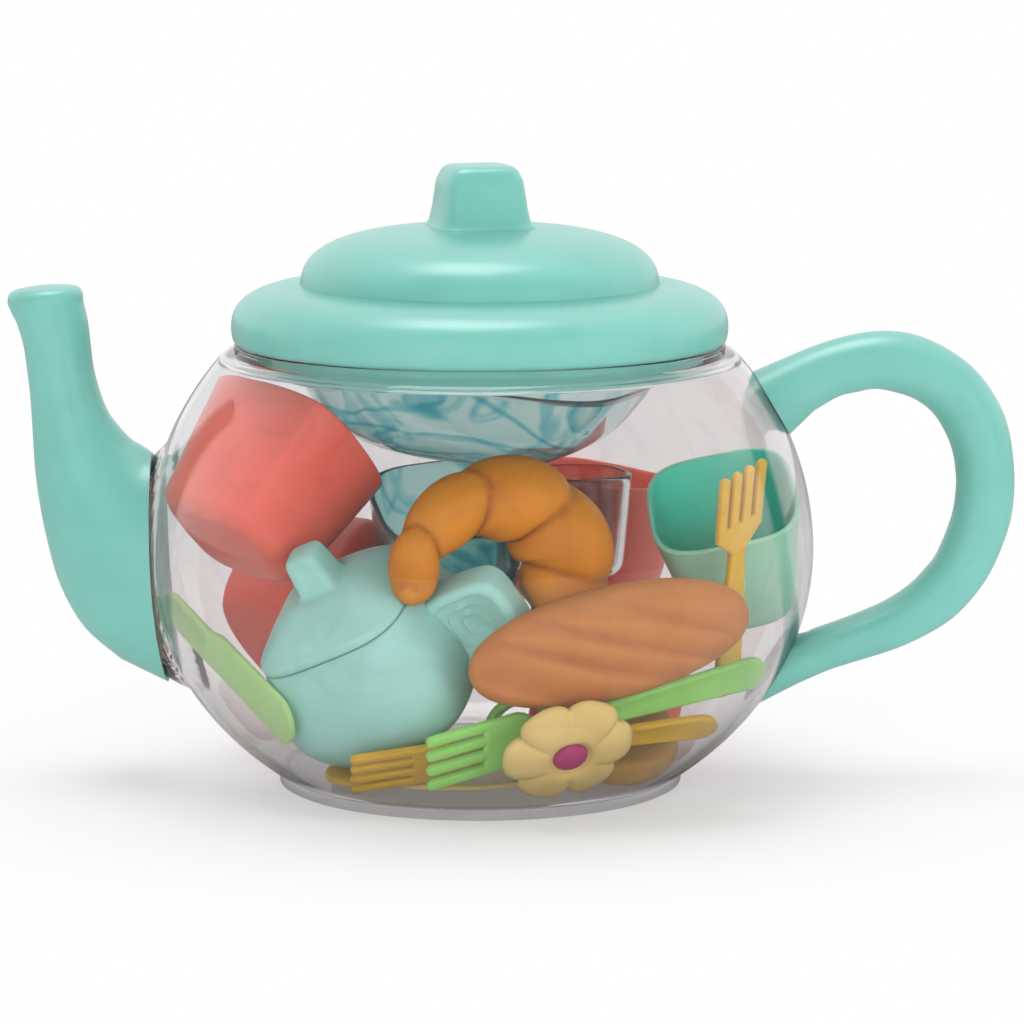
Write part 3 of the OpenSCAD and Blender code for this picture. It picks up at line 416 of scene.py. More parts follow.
def pad_ring(half, width, n=48, lift=BOND):
    out = []
    for a in around(n):
        y, z = -width * math.sin(a), SPOUT_Z + half * math.cos(a)
        h = PAD_UP if z > BOWL_MID else PAD_DOWN
        r = (BOWL_R + PAD_GAIN) * math.sqrt(1 - ((z - BOWL_MID) / h) ** 2) + lift
        out.append((-math.sqrt(r * r - y * y), y, z))
    return out

tip_rows = smooth_rows(spout_tip_shares + spout_shares[:1], 3)[:-1]
rows = tip_rows + smooth_rows(spout_shares, 4)
rings = [edge_ring(spout_row(r)) for r in rows] + [pad_ring(SPOUT_HALF_H, SPOUT_HALF_W)]
rings += [pad_ring(SPOUT_HALF_H * t, SPOUT_HALF_W * t) for t in (0.97, 0.85, 0.7, 0.5, 0.3, 0.1)]
spout = skin("spout_tube", [rings])
finish_piece(spout, "spout", blue_green_abs, crisp=50)

# %% The handle
handle_shares = [
    (0.03, 0.92, 0.16, 0.77, 1.06), (0.15, 0.955, 0.26, 0.81, 1), (0.29, 0.985, 0.335, 0.823, 1),
    (0.436, 1, 0.41, 0.832, 1), (0.583, 0.988, 0.49, 0.823, 1), (0.72, 0.945, 0.574, 0.803, 1),
    (0.834, 0.884, 0.65, 0.765, 1), (0.918, 0.806, 0.704, 0.71, 1), (0.969, 0.725, 0.738, 0.652, 1),
    (0.996, 0.62, 0.754, 0.588, 1), (1, 0.522, 0.755, 0.53, 1), (0.977, 0.42, 0.738, 0.455, 0.99),
    (0.902, 0.29, 0.682, 0.354, 0.97), (0.797, 0.191, 0.633, 0.307, 0.96), (0.688, 0.13, 0.566, 0.258, 0.95),
    (0.52, 0.072, 0.453, 0.206, 0.93), (0.331, 0.03, 0.289, 0.158, 0.92), (0.226, 0.006, 0.176, 0.13, 0.93)]
handle_last_shares = (0.1, -0.032, 0.14, 0.118, 1.04)

HANDLE_LOW_Z, HANDLE_RISE, HANDLE_REACH, HANDLE_HALF, SEAT_GAIN = 36.0, 115.0, 79.5, 9.8, 1.2
HANDLE_TOP_SHARE = 0.794
HANDLE_TOP_Z = HANDLE_LOW_Z + HANDLE_TOP_SHARE * HANDLE_RISE

def wall_slope(z):
    half = BOWL_UP if z > BOWL_MID else BOWL_DOWN
    return math.atan2((z - BOWL_MID) / half ** 2, bowl_radius(z) / BOWL_R ** 2)

# A ring that lies on the wall: halving an interval finds where each of its points meets it
WALL_SEARCH, HALVINGS = 12.0, 24

def wall_ring(middle_z, half, width, lift, side=1, n=48):
    tilt = wall_slope(middle_z)
    out = []
    for a in around(n):
        along, y = side * half * math.cos(a), -width * math.sin(a)
        low, high = -WALL_SEARCH, WALL_SEARCH
        for _ in range(HALVINGS):
            t = (low + high) / 2
            x = bowl_radius(middle_z) - along * math.sin(tilt) + t * math.cos(tilt)
            z = middle_z + along * math.cos(tilt) + t * math.sin(tilt)
            if math.hypot(x, y) < bowl_radius(z) + lift:
                low = t
            else:
                high = t
        out.append((x, y, z))
    return out

start_x = bowl_radius(HANDLE_TOP_Z) + SEAT_GAIN * math.cos(wall_slope(HANDLE_TOP_Z))

def handle_row(s):
    return (start_x + s[0] * HANDLE_REACH, HANDLE_LOW_Z + s[1] * HANDLE_RISE,
            start_x + s[2] * HANDLE_REACH, HANDLE_LOW_Z + s[3] * HANDLE_RISE, s[4] * HANDLE_HALF)

TOP_FOOT, LOW_FOOT = (HANDLE_TOP_Z, 12.1, 11.6), (HANDLE_LOW_Z, 14.1, 11.2)

def foot_rings(foot, side):
    z, half, width = foot
    return [wall_ring(z, half * t, width * t, BOND, side) for t in (0.1, 0.4, 0.7, 0.9, 1.0)]

middle_rows = smooth_rows([handle_row(s) for s in handle_shares] + [handle_row(handle_last_shares)], 4)
rings = foot_rings(TOP_FOOT, 1) + [edge_ring(r) for r in middle_rows] + foot_rings(LOW_FOOT, -1)[::-1]
handle = skin("handle_tube", [rings])
finish_piece(handle, "handle", blue_green_abs, crisp=60)

# %% [markdown]
# The glue that holds the spout and the handle dries milky, and shows as a pale face through the
# clear wall. It is a film some 0.1 mm thick on the wall, under each foot.

# %% The glue films
milky_glue = moulded("milky_acrylic_glue", "#faf4ec", "#f2ebe2", 0.5, glow=0.0)
FILM_LOW, FILM_HIGH = 0.03, 0.11
film = [pad_ring(SPOUT_HALF_H * t, SPOUT_HALF_W * t, lift=FILM_LOW) for t in (0.05, 0.3, 0.6, 0.85, 0.95)]
film += [pad_ring(SPOUT_HALF_H * t, SPOUT_HALF_W * t, lift=FILM_HIGH) for t in (0.95, 0.85, 0.6, 0.3, 0.05)]
glue = [film]
for z, half, width in (TOP_FOOT, LOW_FOOT):
    patch = [wall_ring(z, half * t, width * t, FILM_LOW) for t in (0.05, 0.5, 0.95)]
    glue.append(patch + [wall_ring(z, half * t, width * t, FILM_HIGH) for t in (0.95, 0.5, 0.05)])
glue_films = skin("glue_films", glue)
glue_films.data.materials.append(milky_glue)
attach(glue_films, "pot_body")
print("glue films", len(glue_films.data.vertices), "points")

# %% [markdown]
# ## Cups and other open vessels
# A play cup is a moulded shell: a rounded-square foot, a softened lower edge, walls that widen
# upwards, a rounded rim, and the same shape inside again. The coral cups have a faint ridge at
# each corner, which catches the light, so their rings are four shallow arcs that meet there.

# %% Vessels
def vessel(h, foot, mouth, wall, rounding, bow, ring=square_ring, **shape):
    def side(z):
        return foot / 2 + (mouth - foot) / 2 * (max(0.0, z) / h) ** bow
    inner, flat = max(rounding - wall, wall / 2), 3
    climb = [rounding + (h - wall / 2 - rounding) * t / 14 for t in range(1, 15)]
    rows = [(side(0) - rounding - flat, 0.0)]
    for q in quarter(8):
        z = rounding * (1 - math.cos(q))
        rows.append((side(z) - rounding * (1 - math.sin(q)), z))
    rows += [(side(z), z) for z in climb]
    for k in range(1, 8):
        q = math.radians(180 * k / 8)
        rows.append((side(h) - wall / 2 + wall / 2 * math.cos(q), h - wall / 2 + wall / 2 * math.sin(q)))
    rows += [(side(z) - wall, z) for z in reversed(climb)]
    for q in reversed(quarter(8)):
        z = wall + inner * (1 - math.cos(q))
        rows.append((side(z) - wall - inner * (1 - math.sin(q)), z))
    rows.append((side(0) - rounding - wall - flat, wall))
    return [ring(half, z - h / 2, **shape) for half, z in rows]

CUP = dict(h=48.0, foot=42.0, mouth=55.0, wall=2.0, rounding=6.0, bow=0.8)
cups = {
    "cup_left": ((-0.637, -0.181, 0.207), (43, 43, -37)),
    "cup_low": ((-0.449, 0.368, -0.22), (100, 140, 10)),
    "cup_back": ((0.347, 0.611, -0.076), (8, 0, -32)),
    "cup_right": ((0.41, 0.15, -0.417), (77, 180, 5)),
}
for node, (place, lean) in cups.items():
    cup = skin(node + "_shell", [vessel(ring=ridge_ring, **CUP)])
    finish_piece(cup, node, coral_abs, put(place, lean), crisp=70)

# %% The clear dish, cup and beaker
clear_pieces = {
    "dish": (dict(h=30.0, foot=58.0, mouth=112.0, wall=2.0, rounding=16.0, bow=0.6, square=0.46, n=96),
             (-0.026, 0.183, 0.381), (6, 0, -16), "clear_teal_plastic", tinted_san),
    "clear_cup": (dict(h=46.0, foot=38.0, mouth=50.0, wall=2.0, rounding=6.0, bow=0.8, n=64),
                  (-0.098, 0.088, -0.044), (24, 270, 14), "clear_teal_plastic", deep_san),
    "beaker": (dict(h=36.0, foot=32.0, mouth=39.0, wall=1.8, rounding=6.0, bow=0.8, square=0.72, n=64),
               (0.275, 0.152, 0.045), (0, 0, 20), "clear_pale_plastic", pale_san),
}
for node, (form, place, lean, slot, plastic) in clear_pieces.items():
    finish_piece(skin(node + "_shell", [vessel(**form)]), node, plastic, put(place, lean))

# %% [markdown]
# The creamer is a plain open jug with a small stub on its wall, pale green outside, and its inner
# faces get a second, deeper green material. The saucer is turned.

# %% The creamer
CREAMER = dict(h=46.0, foot=34.0, mouth=50.0, wall=2.0, rounding=5.0, bow=0.9, n=64)
STUB_UP, STUB_SIDES = 4.6, 24
middle_share = 0.5 ** CREAMER["bow"]
stub_from = (CREAMER["foot"] + (CREAMER["mouth"] - CREAMER["foot"]) * middle_share - CREAMER["wall"]) / 2
stub_rows = ((-1.0, 3.4), (0.2, 3.1), (1.0, 2.8), (3.0, 2.5), (5.0, 2.1), (5.6, 1.8), (6.0, 1.2), (6.1, 0.3))
stub = [[(r * math.cos(a), -(stub_from + out), STUB_UP + r * math.sin(a)) for a in around(STUB_SIDES)]
        for out, r in stub_rows]
creamer_rings = vessel(**CREAMER)
creamer = skin("creamer_shell", [creamer_rings, stub])
creamer.data.materials.append(pale_sea_abs)
inner_faces = range(CREAMER["n"] * (len(creamer_rings) // 2 + 1), CREAMER["n"] * (len(creamer_rings) - 1))
for face in creamer.data.polygons:
    face.material_index = 1 if face.index in inner_faces else 0
finish_piece(creamer, "creamer", sea_green_abs, put((0.764, 0.04, -0.02), (33, 248, 0)))

# %% The saucer
plate = [(0, 0), (26, 0), (27, 0.3), (41.2, 3.1), (41.9, 3.6), (42, 4.3), (41.6, 4.9), (41, 5), (40, 4.7),
         (26.2, 2.0), (24.5, 1.8), (0, 1.8)]
saucer = skin("saucer_plate", [spin(plate, 96)])
finish_piece(saucer, "saucer", cream_pp, put((-0.07, -0.077, -0.675), (0, 0, 0)), crisp=60)

# %% [markdown]
# ## The small pot
# The pot is a rounded square that swells at mid height, closed by a lid whose edge leaves a fine
# dark line, and it has a flat ear with a stepped hollow on each side instead of a loop.

# %% The small pot
POT_H, POT_W, POT_RIM, POT_FOOT, POT_ROUND = 46.0, 66.0, 56.0, 44.0, 7.0
pot_at = put((-0.287, -0.336, -0.3), (36, 207, -20)) @ Matrix.Translation((0, 0, -POT_H / 2))

def pot_side(z):
    m = POT_H / 2
    if z < m:
        return POT_FOOT / 2 + (POT_W - POT_FOOT) / 2 * math.sin(math.pi / 2 * z / m)
    return POT_RIM / 2 + (POT_W - POT_RIM) / 2 * math.cos(math.pi / 2 * (z - m) / m)

def pot_shell(inset, top):
    r, flat = POT_ROUND - inset, 3
    rows = [(pot_side(0) - POT_ROUND - flat, inset)]
    for q in quarter(8):
        z = inset + r * (1 - math.cos(q))
        rows.append((pot_side(z) - inset - r * (1 - math.sin(q)), z))
    rows += [(pot_side(z) - inset, z) for z in
             [POT_ROUND + (top - POT_ROUND) * t / 20 for t in range(1, 21)]]
    return rows

POT_WALL = 2.0
pot_edge = [(POT_RIM / 2 - 0.15, POT_H - 0.12), (POT_RIM / 2 - 0.5, POT_H), (POT_RIM / 2 - 1.6, POT_H)]
rows = pot_shell(0, POT_H - 0.5) + pot_edge + pot_shell(POT_WALL, POT_H - 0.2)[::-1]
pot = skin("pot_shell", [[square_ring(h, z, n=64) for h, z in rows]])
finish_piece(pot, "pot", pale_green_abs, pot_at, crisp=70)

# %% The ear
EAR_W, EAR_T, EAR_EDGE, EAR_UP, STEP_SHARE, EAR_SQUARE = 30.0, 13.0, 2.5, 4, 0.125, 0.5

def ear_face(side):
    rows = []
    for q in quarter(6):
        rows.append((EAR_W / 2 - EAR_EDGE * (1 - math.cos(q)), EAR_T / 2 - EAR_EDGE * (1 - math.sin(q))))
    # three steps, each 1 mm deep, lead down into the hollow
    for k in (1, 2, 3):
        half, top = EAR_W / 2 - k * EAR_W * STEP_SHARE, EAR_T / 2 - (k - 1)
        rows += [(half + 0.25, top), (half, top - 0.25), (half, top - 0.85), (half - 0.3, top - 1)]
    return [square_ring(h, side * t, EAR_SQUARE, 48) for h, t in rows]

ear = skin("pot_ear", [ear_face(-1)[::-1] + ear_face(1)])
ear_place = Matrix.Translation((pot_side(POT_H / 2) + EAR_W / 4, 0, POT_H / 2 + EAR_UP))
ear_at = pot_at @ ear_place @ Matrix.Rotation(math.radians(90), 4, 'X')
finish_piece(ear, "pot", pale_green_abs, ear_at, crisp=45)

# %% The small lid
half, plug, roof_top, roof_z, roof_h, lid_gap = POT_RIM / 2, POT_RIM / 2 - 2.5, 8.5, 2.5, 10.5, 0.25
# the plug that sits in the pot, the rounded edge, then the curved roof up to the small knob
rows = [(plug - 3, -3.9), (plug - 0.4, -3.9), (plug, -3.6), (plug, 0.0), (half - 1.0, 0.0),
        (half - 0.25, 0.3), (half, 0.9), (half, 2.1), (half - 0.3, 2.9), (half - 1.2, 3.6)]
for t in [k / 12 for k in range(1, 13)]:
    rows.append((half + (roof_top - half) * t, roof_z + roof_h * math.sin(math.pi / 2 * t)))
small_knob = [(7.9, 13.4), (7.2, 14.2), (6.9, 15.5), (6.6, 19.0), (6.1, 23.4), (5.8, 24.8), (5.2, 25.8),
              (4.2, 26.4), (2.6, 26.6), (0.3, 26.6)]
lid_rings = [square_ring(h, z, SQUARE, 64) for h, z in rows]
lid_rings += [square_ring(h, z, 0.45, 64) for h, z in small_knob]
pot_lid = skin("pot_lid_shell", [lid_rings])
pot_lid_at = pot_at @ Matrix.Translation((0, 0, POT_H + lid_gap))
finish_piece(pot_lid, "pot_lid", pale_green_abs, pot_lid_at, crisp=60)

# %% [markdown]
# ## Pretend food
# Play bread is moulded polypropylene with an airbrushed coat, its tone varied by a noise of
# some 20 mm, the size of an airbrush spot. Painted shade and light follow the shape on top of
# that: darker in the hollows and golden on the crests, by how far a point stands out of its
# hollows, which the geometry node calls pointiness. The coat is satin, with pores of about 1.5 mm.

# %% Airbrushed plastic
def airbrushed(name, gold_and_crest_light, baked_and_hollow_shade, spot_mm=20.0, pore_mm=1.6, pores=0.12, rough=0.46):
    material, tree = new_tree(name)
    here = {'Vector': add(tree, 'ShaderNodeTexCoord').outputs['Object']}
    spot = add(tree, 'ShaderNodeTexNoise', {'Scale': 1000 / spot_mm, 'Detail': 2.0}, here)
    # Painted shade: pointiness draws the hollows darker, towards the baked tone, and the crests lighter,
    # towards the golden one.
    crest = add(tree, 'ShaderNodeNewGeometry')
    painted_hollow_shade = add(tree, 'ShaderNodeMapRange', {'From Min': 0.46, 'From Max': 0.54},
               {'Value': crest.outputs['Pointiness']})
    both = add(tree, 'ShaderNodeMath', {'operation': 'MULTIPLY_ADD', 1: 0.55, 2: 0.1},
               {0: painted_hollow_shade.outputs['Result']})
    amount = add(tree, 'ShaderNodeMath', {'operation': 'MULTIPLY_ADD', 1: 0.7, 'use_clamp': True},
                 {0: spot.outputs['Fac'], 2: both.outputs['Value']})
    tone = add(tree, 'ShaderNodeValToRGB', links={'Fac': amount.outputs['Value']})
    set_stops(tone, (0.3, baked_and_hollow_shade), (0.85, gold_and_crest_light))
    pore = add(tree, 'ShaderNodeTexNoise', {'Scale': 1000 / pore_mm, 'Detail': 3.0}, here)
    bump = add(tree, 'ShaderNodeBump', {'Strength': pores, 'Distance': 0.0004},
               {'Height': pore.outputs['Fac']})
    crust = add(tree, 'ShaderNodeBsdfPrincipled',
                {'Roughness': rough, 'IOR': 1.47, 'Subsurface Weight': 0.06, 'Subsurface Scale': 0.003},
                {'Base Color': tone.outputs['Color'], 'Normal': bump.outputs['Normal']})
    add(tree, 'ShaderNodeOutputMaterial', links={'Surface': crust.outputs['BSDF']})
    return material

croissant_coat = airbrushed("croissant_airbrushed_polypropylene", "#d98a1c", "#a4560f")
bread_coat = airbrushed("bread_airbrushed_polypropylene", "#cd8544", "#b56a33")
biscuit_coat = airbrushed("biscuit_airbrushed_polypropylene", "#c39a52", "#8f672c", 8.0, 1.4, 0.6, 0.6)

# %% [markdown]
# A croissant is a strip rolled up and bent: fat in the middle, thin at the tips, with a crease
# where each turn of the strip ends. The creases lean, because the strip is rolled at an angle.
# Each row of the middle line is a place and a thickness, as shares of the bend's radius and of
# the fattest roll, and both ends are closed by a half ball.

# %% The croissant
BEND_R, ROLL_R, ROLLS, CREASE, CREASE_FULL_R = 66, 15.5, 6, 3.4, 11
croissant_shares = [
    (-0.43, -0.1, 0.5), (-0.46, 0.07, 0.58), (-0.39, 0.26, 0.7), (-0.22, 0.43, 0.87), (0.02, 0.48, 1),
    (0.23, 0.38, 1.06), (0.35, 0.17, 1), (0.37, -0.03, 0.74), (0.34, -0.15, 0.3)]
line = smooth_rows([(x * BEND_R, y * BEND_R, r * ROLL_R) for x, y, r in croissant_shares], 12)

def tip(end, before, k, bulge=0.8):
    d = Vector((end[0] - before[0], end[1] - before[1])).normalized()
    a = math.radians(k)
    return (end[0] + d.x * end[2] * math.sin(a) * bulge, end[1] + d.y * end[2] * math.sin(a) * bulge,
            end[2] * math.cos(a))

tip_angles = (15, 30, 50, 70, 86)
first_tip = [tip(line[0], line[1], k) for k in reversed(tip_angles)]
line = first_tip + line + [tip(line[-1], line[-2], k) for k in tip_angles]

# %% The croissant's rolls
m, n = len(line), 56
rings = []
for k in range(m):
    x, y, r = line[k]
    ax, ay = line[min(k + 1, m - 1)][:2]
    bx, by = line[max(k - 1, 0)][:2]
    d = Vector((ax - bx, ay - by)).normalized()
    ring = []
    for a in around(n):
        turn = ROLLS * k / (m - 1) + 0.2 * math.sin(a) + 0.14 * math.cos(a)
        phase = (turn - math.floor(turn)) ** 1.3
        swell = math.sin(math.pi * phase) ** 0.55
        rr = max(r - CREASE * (1 - swell) * min(1, r / CREASE_FULL_R), 0.05)
        ring.append((x + rr * math.cos(a) * d.y, y - rr * math.cos(a) * d.x, -rr * math.sin(a)))
    rings.append(ring)
croissant = skin("croissant_rolls", [rings])
croissant_at = put((0.043, -0.482, -0.068), (82, 294, 0))
finish_piece(croissant, "croissant", croissant_coat, croissant_at)

# %% [markdown]
# The loaf is a flattened spindle with four slanting cuts on its crust, each a soft valley with
# one steep side, as a baker's blade leaves.

# %% The loaf
LOAF_LONG, LOAF_WIDE, LOAF_HIGH, CUT_DEPTH, CUT_PITCH, CUT_LEAN = 46, 18, 14, 2.2, 16.0, 1.2
STEEP, GENTLE = 0.13, 0.32
rings = []
for k in range(90):
    t = -math.cos(math.pi * (k + 0.35) / 89.7)
    s = max(0.0, 1 - t * t) ** 0.45
    ring = []
    for a in around(72):
        face = max(0.0, math.cos(a))
        y = s * LOAF_WIDE * math.sin(a)
        waver = 2.2 * math.sin(y * 0.16 + t * 3)
        along = (t * LOAF_LONG * 0.62 + y * CUT_LEAN + waver) / CUT_PITCH + 0.2
        saw = along - math.floor(along)
        cut = math.exp(-((saw - 0.5) / (STEEP if saw < 0.5 else GENTLE)) ** 2)
        depth = CUT_DEPTH * cut * face ** 0.7 * min(1, 2.2 * s)
        ring.append((t * LOAF_LONG, y, s * (LOAF_HIGH - depth) * math.cos(a)))
    rings.append(ring)
loaf = skin("loaf_crust", [rings[::-1]])
finish_piece(loaf, "loaf", bread_coat, put((0.368, -0.626, -0.176), (90, 280, 22)))

# %% [markdown]
# The biscuit is a round disc with soft edges. A noise of some 3 mm draws its surface in here and
# there, as crumbs do.

# %% The biscuit
BISCUIT_R, BISCUIT_HALF, BISCUIT_EDGE, CRUMB, CRUMB_SCALE = 20, 4.5, 2.5, 0.35, 0.35
rings = []
rows = [(r, -BISCUIT_HALF) for r in (0.2, 4, 8, 12, 15)]
rows += [(BISCUIT_R - BISCUIT_EDGE * (1 - math.sin(q)), -BISCUIT_HALF + BISCUIT_EDGE * (1 - math.cos(q)))
         for q in quarter(6)]
rows += [(r, -z) for r, z in rows[::-1]]
for r, z in rows:
    ring = []
    for a in around(96):
        p = Vector((r * math.cos(a), r * math.sin(a), z))
        crumb = noise.noise(p * CRUMB_SCALE) * CRUMB - 0.3
        ring.append(tuple(p * (1 + crumb / max(p.length, 6))))
    rings.append(ring)
biscuit = skin("biscuit_crumb", [rings])
finish_piece(biscuit, "biscuit", biscuit_coat, put((0.409, -0.257, -0.538), (25, 270, 0)))

# %% [markdown]
# ## Cutlery
# Play cutlery is flat with rounded edges. The handle has a shallow hollow with a raised border,
# which saves plastic. Each piece is a row of rounded bars across its length, and the four tines
# of a fork are bars of their own that grow out of the head.

# %% Bars
BORDER, BORDER_SLOPE, BAR_SQUARE = 1.6, 0.8, 0.5

def bar(stations, n=28):
    rings = []
    for x, low, high, t, hollow in stations:
        ring = []
        for a in around(n):
            y = (high + low) / 2 + (high - low) / 2 * power(math.cos(a), BAR_SQUARE)
            z = t / 2 * power(math.sin(a), BAR_SQUARE)
            inner = max(0.0, min(1.0, (min(high - y, y - low) - BORDER) / BORDER_SLOPE))
            ring.append((x, y, z * (1 - hollow * inner)))
        rings.append(ring)
    return rings

def end_row(x, half, t, k, sign, middle=0.0):
    a = math.radians(k)
    reach, thick = half * math.cos(a), t * (0.35 + 0.65 * math.cos(a))
    return x + sign * half * math.sin(a), middle - reach, middle + reach, thick, 0

def eased(t):
    return 3 * t * t - 2 * t ** 3

# %% The flat of a fork
FORK_W, NECK_W, HANDLE_W, TINE_GAP, TINE_L, FLAT_T = 21.0, 7.0, 13.0, 2.0, 21.0, 2.8
HEAD_SHARE, SHOULDER_SHARE = 0.36, 0.72

def fork_flat(length):
    x0, head = -length / 2, length * HEAD_SHARE
    root, shoulder, neck = x0 + TINE_L, x0 + head * SHOULDER_SHARE, x0 + head
    w, nk, hw, end = FORK_W / 2, NECK_W / 2, HANDLE_W / 2, length / 2 - HANDLE_W / 2
    rows = [(root - 1.2, -w + 0.3, w - 0.3, 1.6, 0), (root - 0.6, -w, w, 2.4, 0),
            (root + 0.5, -w, w, FLAT_T, 0), (shoulder, -w, w, FLAT_T, 0)]
    for t in [k / 8 for k in range(1, 9)]:
        half = w + (nk - w) * eased(t)
        rows.append((shoulder + (neck - shoulder) * t, -half, half, FLAT_T, 0))
    for t, hollow in ((0.1, 0), (0.18, 0.45), (0.4, 0.45), (0.7, 0.45), (0.96, 0.45), (1.0, 0.4)):
        half = nk + (hw - nk) * t
        rows.append((neck + (end - neck) * t, -half, half, FLAT_T, hollow))
    rows.append((end + 2.4, -hw * 0.93, hw * 0.93, FLAT_T, 0.0))
    return bar(rows + [end_row(end, hw, FLAT_T, k, 1) for k in (35, 50, 65, 78, 88)])

# %% The tines and the forks
def tines(length):
    x0, half = -length / 2, (FORK_W - 3 * TINE_GAP) / 8
    root = x0 + TINE_L
    stacks = []
    for i in range(4):
        mid = -FORK_W / 2 + half + i * (2 * half + TINE_GAP)
        rows = [end_row(x0 + half, half, FLAT_T - 0.4, k, -1, mid) for k in (86, 70, 50, 30)]
        rows += [(x, mid - half, mid + half, FLAT_T - 0.3, 0)
                 for x in (x0 + half, x0 + 8, x0 + 15, root - 1, root + 3)]
        stacks.append(bar(rows, 16))
    return stacks

forks = {
    "green_fork": ((0.342, -0.482, -0.418), (115, 296, 38), 120.0, "leaf_green_plastic", leaf_green_pp),
    "yellow_fork": ((0.158, -0.47, -0.517), (136, 284, 23), 120.0, "yellow_plastic", yellow_pp),
    "side_fork": ((0.746, -0.29, -0.066), (107, 319, -25), 88.0, "yellow_plastic", yellow_pp),
}
for node, (place, lean, length, slot, plastic) in forks.items():
    fork = skin(node + "_flat", [fork_flat(length)] + tines(length))
    finish_piece(fork, node, plastic, put(place, lean), crisp=70)

# %% Knives
KNIFE_L, BLADE_W, BLADE_T, GRIP_SHARE, HALF_GRIP_SHARE = 78.0, 18.0, 2.7, 0.42, 0.36

def knife_flat():
    w, hw = BLADE_W / 2, BLADE_W * HALF_GRIP_SHARE
    neck, tip_x, end = KNIFE_L / 2 - KNIFE_L * GRIP_SHARE, -KNIFE_L / 2 + w, KNIFE_L / 2 - hw
    rows = []
    for k in range(19):
        q = math.radians(4 + 86 * k / 18)
        rows.append((tip_x - w * math.cos(q), -w * math.sin(q), hw * min(1.0, math.sin(q) * 1.25),
                     1.6 + math.sin(q), 0))
    rows += [(tip_x + 12, -w, hw, BLADE_T, 0), (neck - 3, -w, hw, BLADE_T, 0)]
    for t in [k / 6 for k in range(1, 7)]:
        rows.append((neck - 3 + 9 * t, -w + (w - hw) * eased(t), hw, FLAT_T, 0))
    rows += [(neck + 8, -hw, hw, FLAT_T, 0.35), (end - 2, -hw, hw, FLAT_T, 0.35), (end, -hw, hw, FLAT_T, 0.3)]
    return bar(rows + [end_row(end, hw, FLAT_T, k, 1) for k in (20, 35, 50, 65, 78, 88)])

knives = {
    "green_knife": ((-0.739, -0.332, -0.298), (101, 214, 98), "pale_green_plastic", pale_leaf_pp),
    "yellow_knife": ((-0.134, -0.259, -0.599), (10, 286, 27), "yellow_plastic", yellow_pp),
}
for node, (place, lean, slot, plastic) in knives.items():
    knife = skin(node + "_flat", [knife_flat()])
    finish_piece(knife, node, plastic, put(place, lean), crisp=70)

# %% [markdown]
# ## Napkin ring and flower
# The ring is a turned band. The flower is one cushion-like moulding: six petals that swell
# between soft creases, and a coloured button in its middle.

# %% Napkin ring
BAND_R, BAND_HALF_T, BAND_HALF_H, BAND_SQUARE = 13.0, 1.7, 4.5, 0.7
band = []
for a in around(24):
    band.append((BAND_R - BAND_HALF_T + BAND_HALF_T * power(math.cos(a), BAND_SQUARE),
                 BAND_HALF_H * power(math.sin(a), BAND_SQUARE)))
ring_piece = skin("napkin_ring_band", [spin(band, 96)], loop=True)
ring_at = put((0.126, -0.355, -0.502), (78, 260, 0))
finish_piece(ring_piece, "napkin_ring", leaf_green_pp, ring_at)

# %% Flower
FLOWER_R, FLOWER_H, WAIST, GROOVE = 21.5, 8.0, 0.17, 0.4
# height and radius of each ring, as shares, from the underside over the rim to the pocket
flower_shares = [
    (0.0, 0.3), (0.0, 0.8), (0.12, 0.94), (0.35, 1.0), (0.6, 0.95), (0.82, 0.78), (0.94, 0.56),
    (0.97, 0.42), (0.92, 0.34), (0.8, 0.3), (0.72, 0.2), (0.7, 0.02)]
rings = []
for up, share in smooth_rows(flower_shares, 4):
    ring = []
    for a in around(144):
        pinch = (1 - abs(math.sin(3 * a))) ** 2
        r = share * FLOWER_R * (1 - WAIST * pinch * min(1.0, max(0.0, share - 0.2) * 2))
        groove = GROOVE * pinch * (1 if up > 0.5 else 0) * min(1.0, max(0.0, share - 0.28) * 3)
        ring.append((r * math.cos(a), r * math.sin(a), up * FLOWER_H - groove))
    rings.append(ring)
flower_at = put((0.242, -0.649, -0.459), (126, 290, 0))
finish_piece(skin("flower_petals", [rings]), "flower", petal_pp, flower_at)

# %% The flower's button
BUTTON_R, BUTTON_Z, BUTTON_H = 5.8, 6.0, 2.2
button = [(max(BUTTON_R * math.sin(q), 0.02), BUTTON_Z + BUTTON_H * math.cos(q)) for q in quarter(10)]
button += [(6.0, 5.7), (5.9, 5.4), (0.02, 5.35)]
eye = skin("flower_button", [spin(button, 64)])
finish_piece(eye, "flower_eye", magenta_pp, flower_at, crisp=60)

# %% [markdown]
# ## Floor, light and camera
# The toy stands on a matt white table before a white backdrop. The table turns to pure white
# away from the toy and keeps its soft shadow close by. A clear wall mirrors whatever stands in
# front of it, and a photographer keeps that dark, so that the heap inside shows in full colour.
# So rays that mirror off the outside of the plastic see a dim warm card mixed into the table.
# The Light Path node tells those rays from others by how often they were bent.

# %% Which rays went straight through
def only_passed(tree, ray):
    bounced = add(tree, 'ShaderNodeMath', {'operation': 'SUBTRACT'},
                  {0: ray.outputs['Ray Depth'], 1: ray.outputs['Transmission Depth']})
    straight = add(tree, 'ShaderNodeMath', {'operation': 'LESS_THAN', 1: 0.5},
                   {0: bounced.outputs['Value']})
    return add(tree, 'ShaderNodeMath', {'operation': 'MULTIPLY'},
               {0: straight.outputs['Value'], 1: ray.outputs['Is Transmission Ray']})

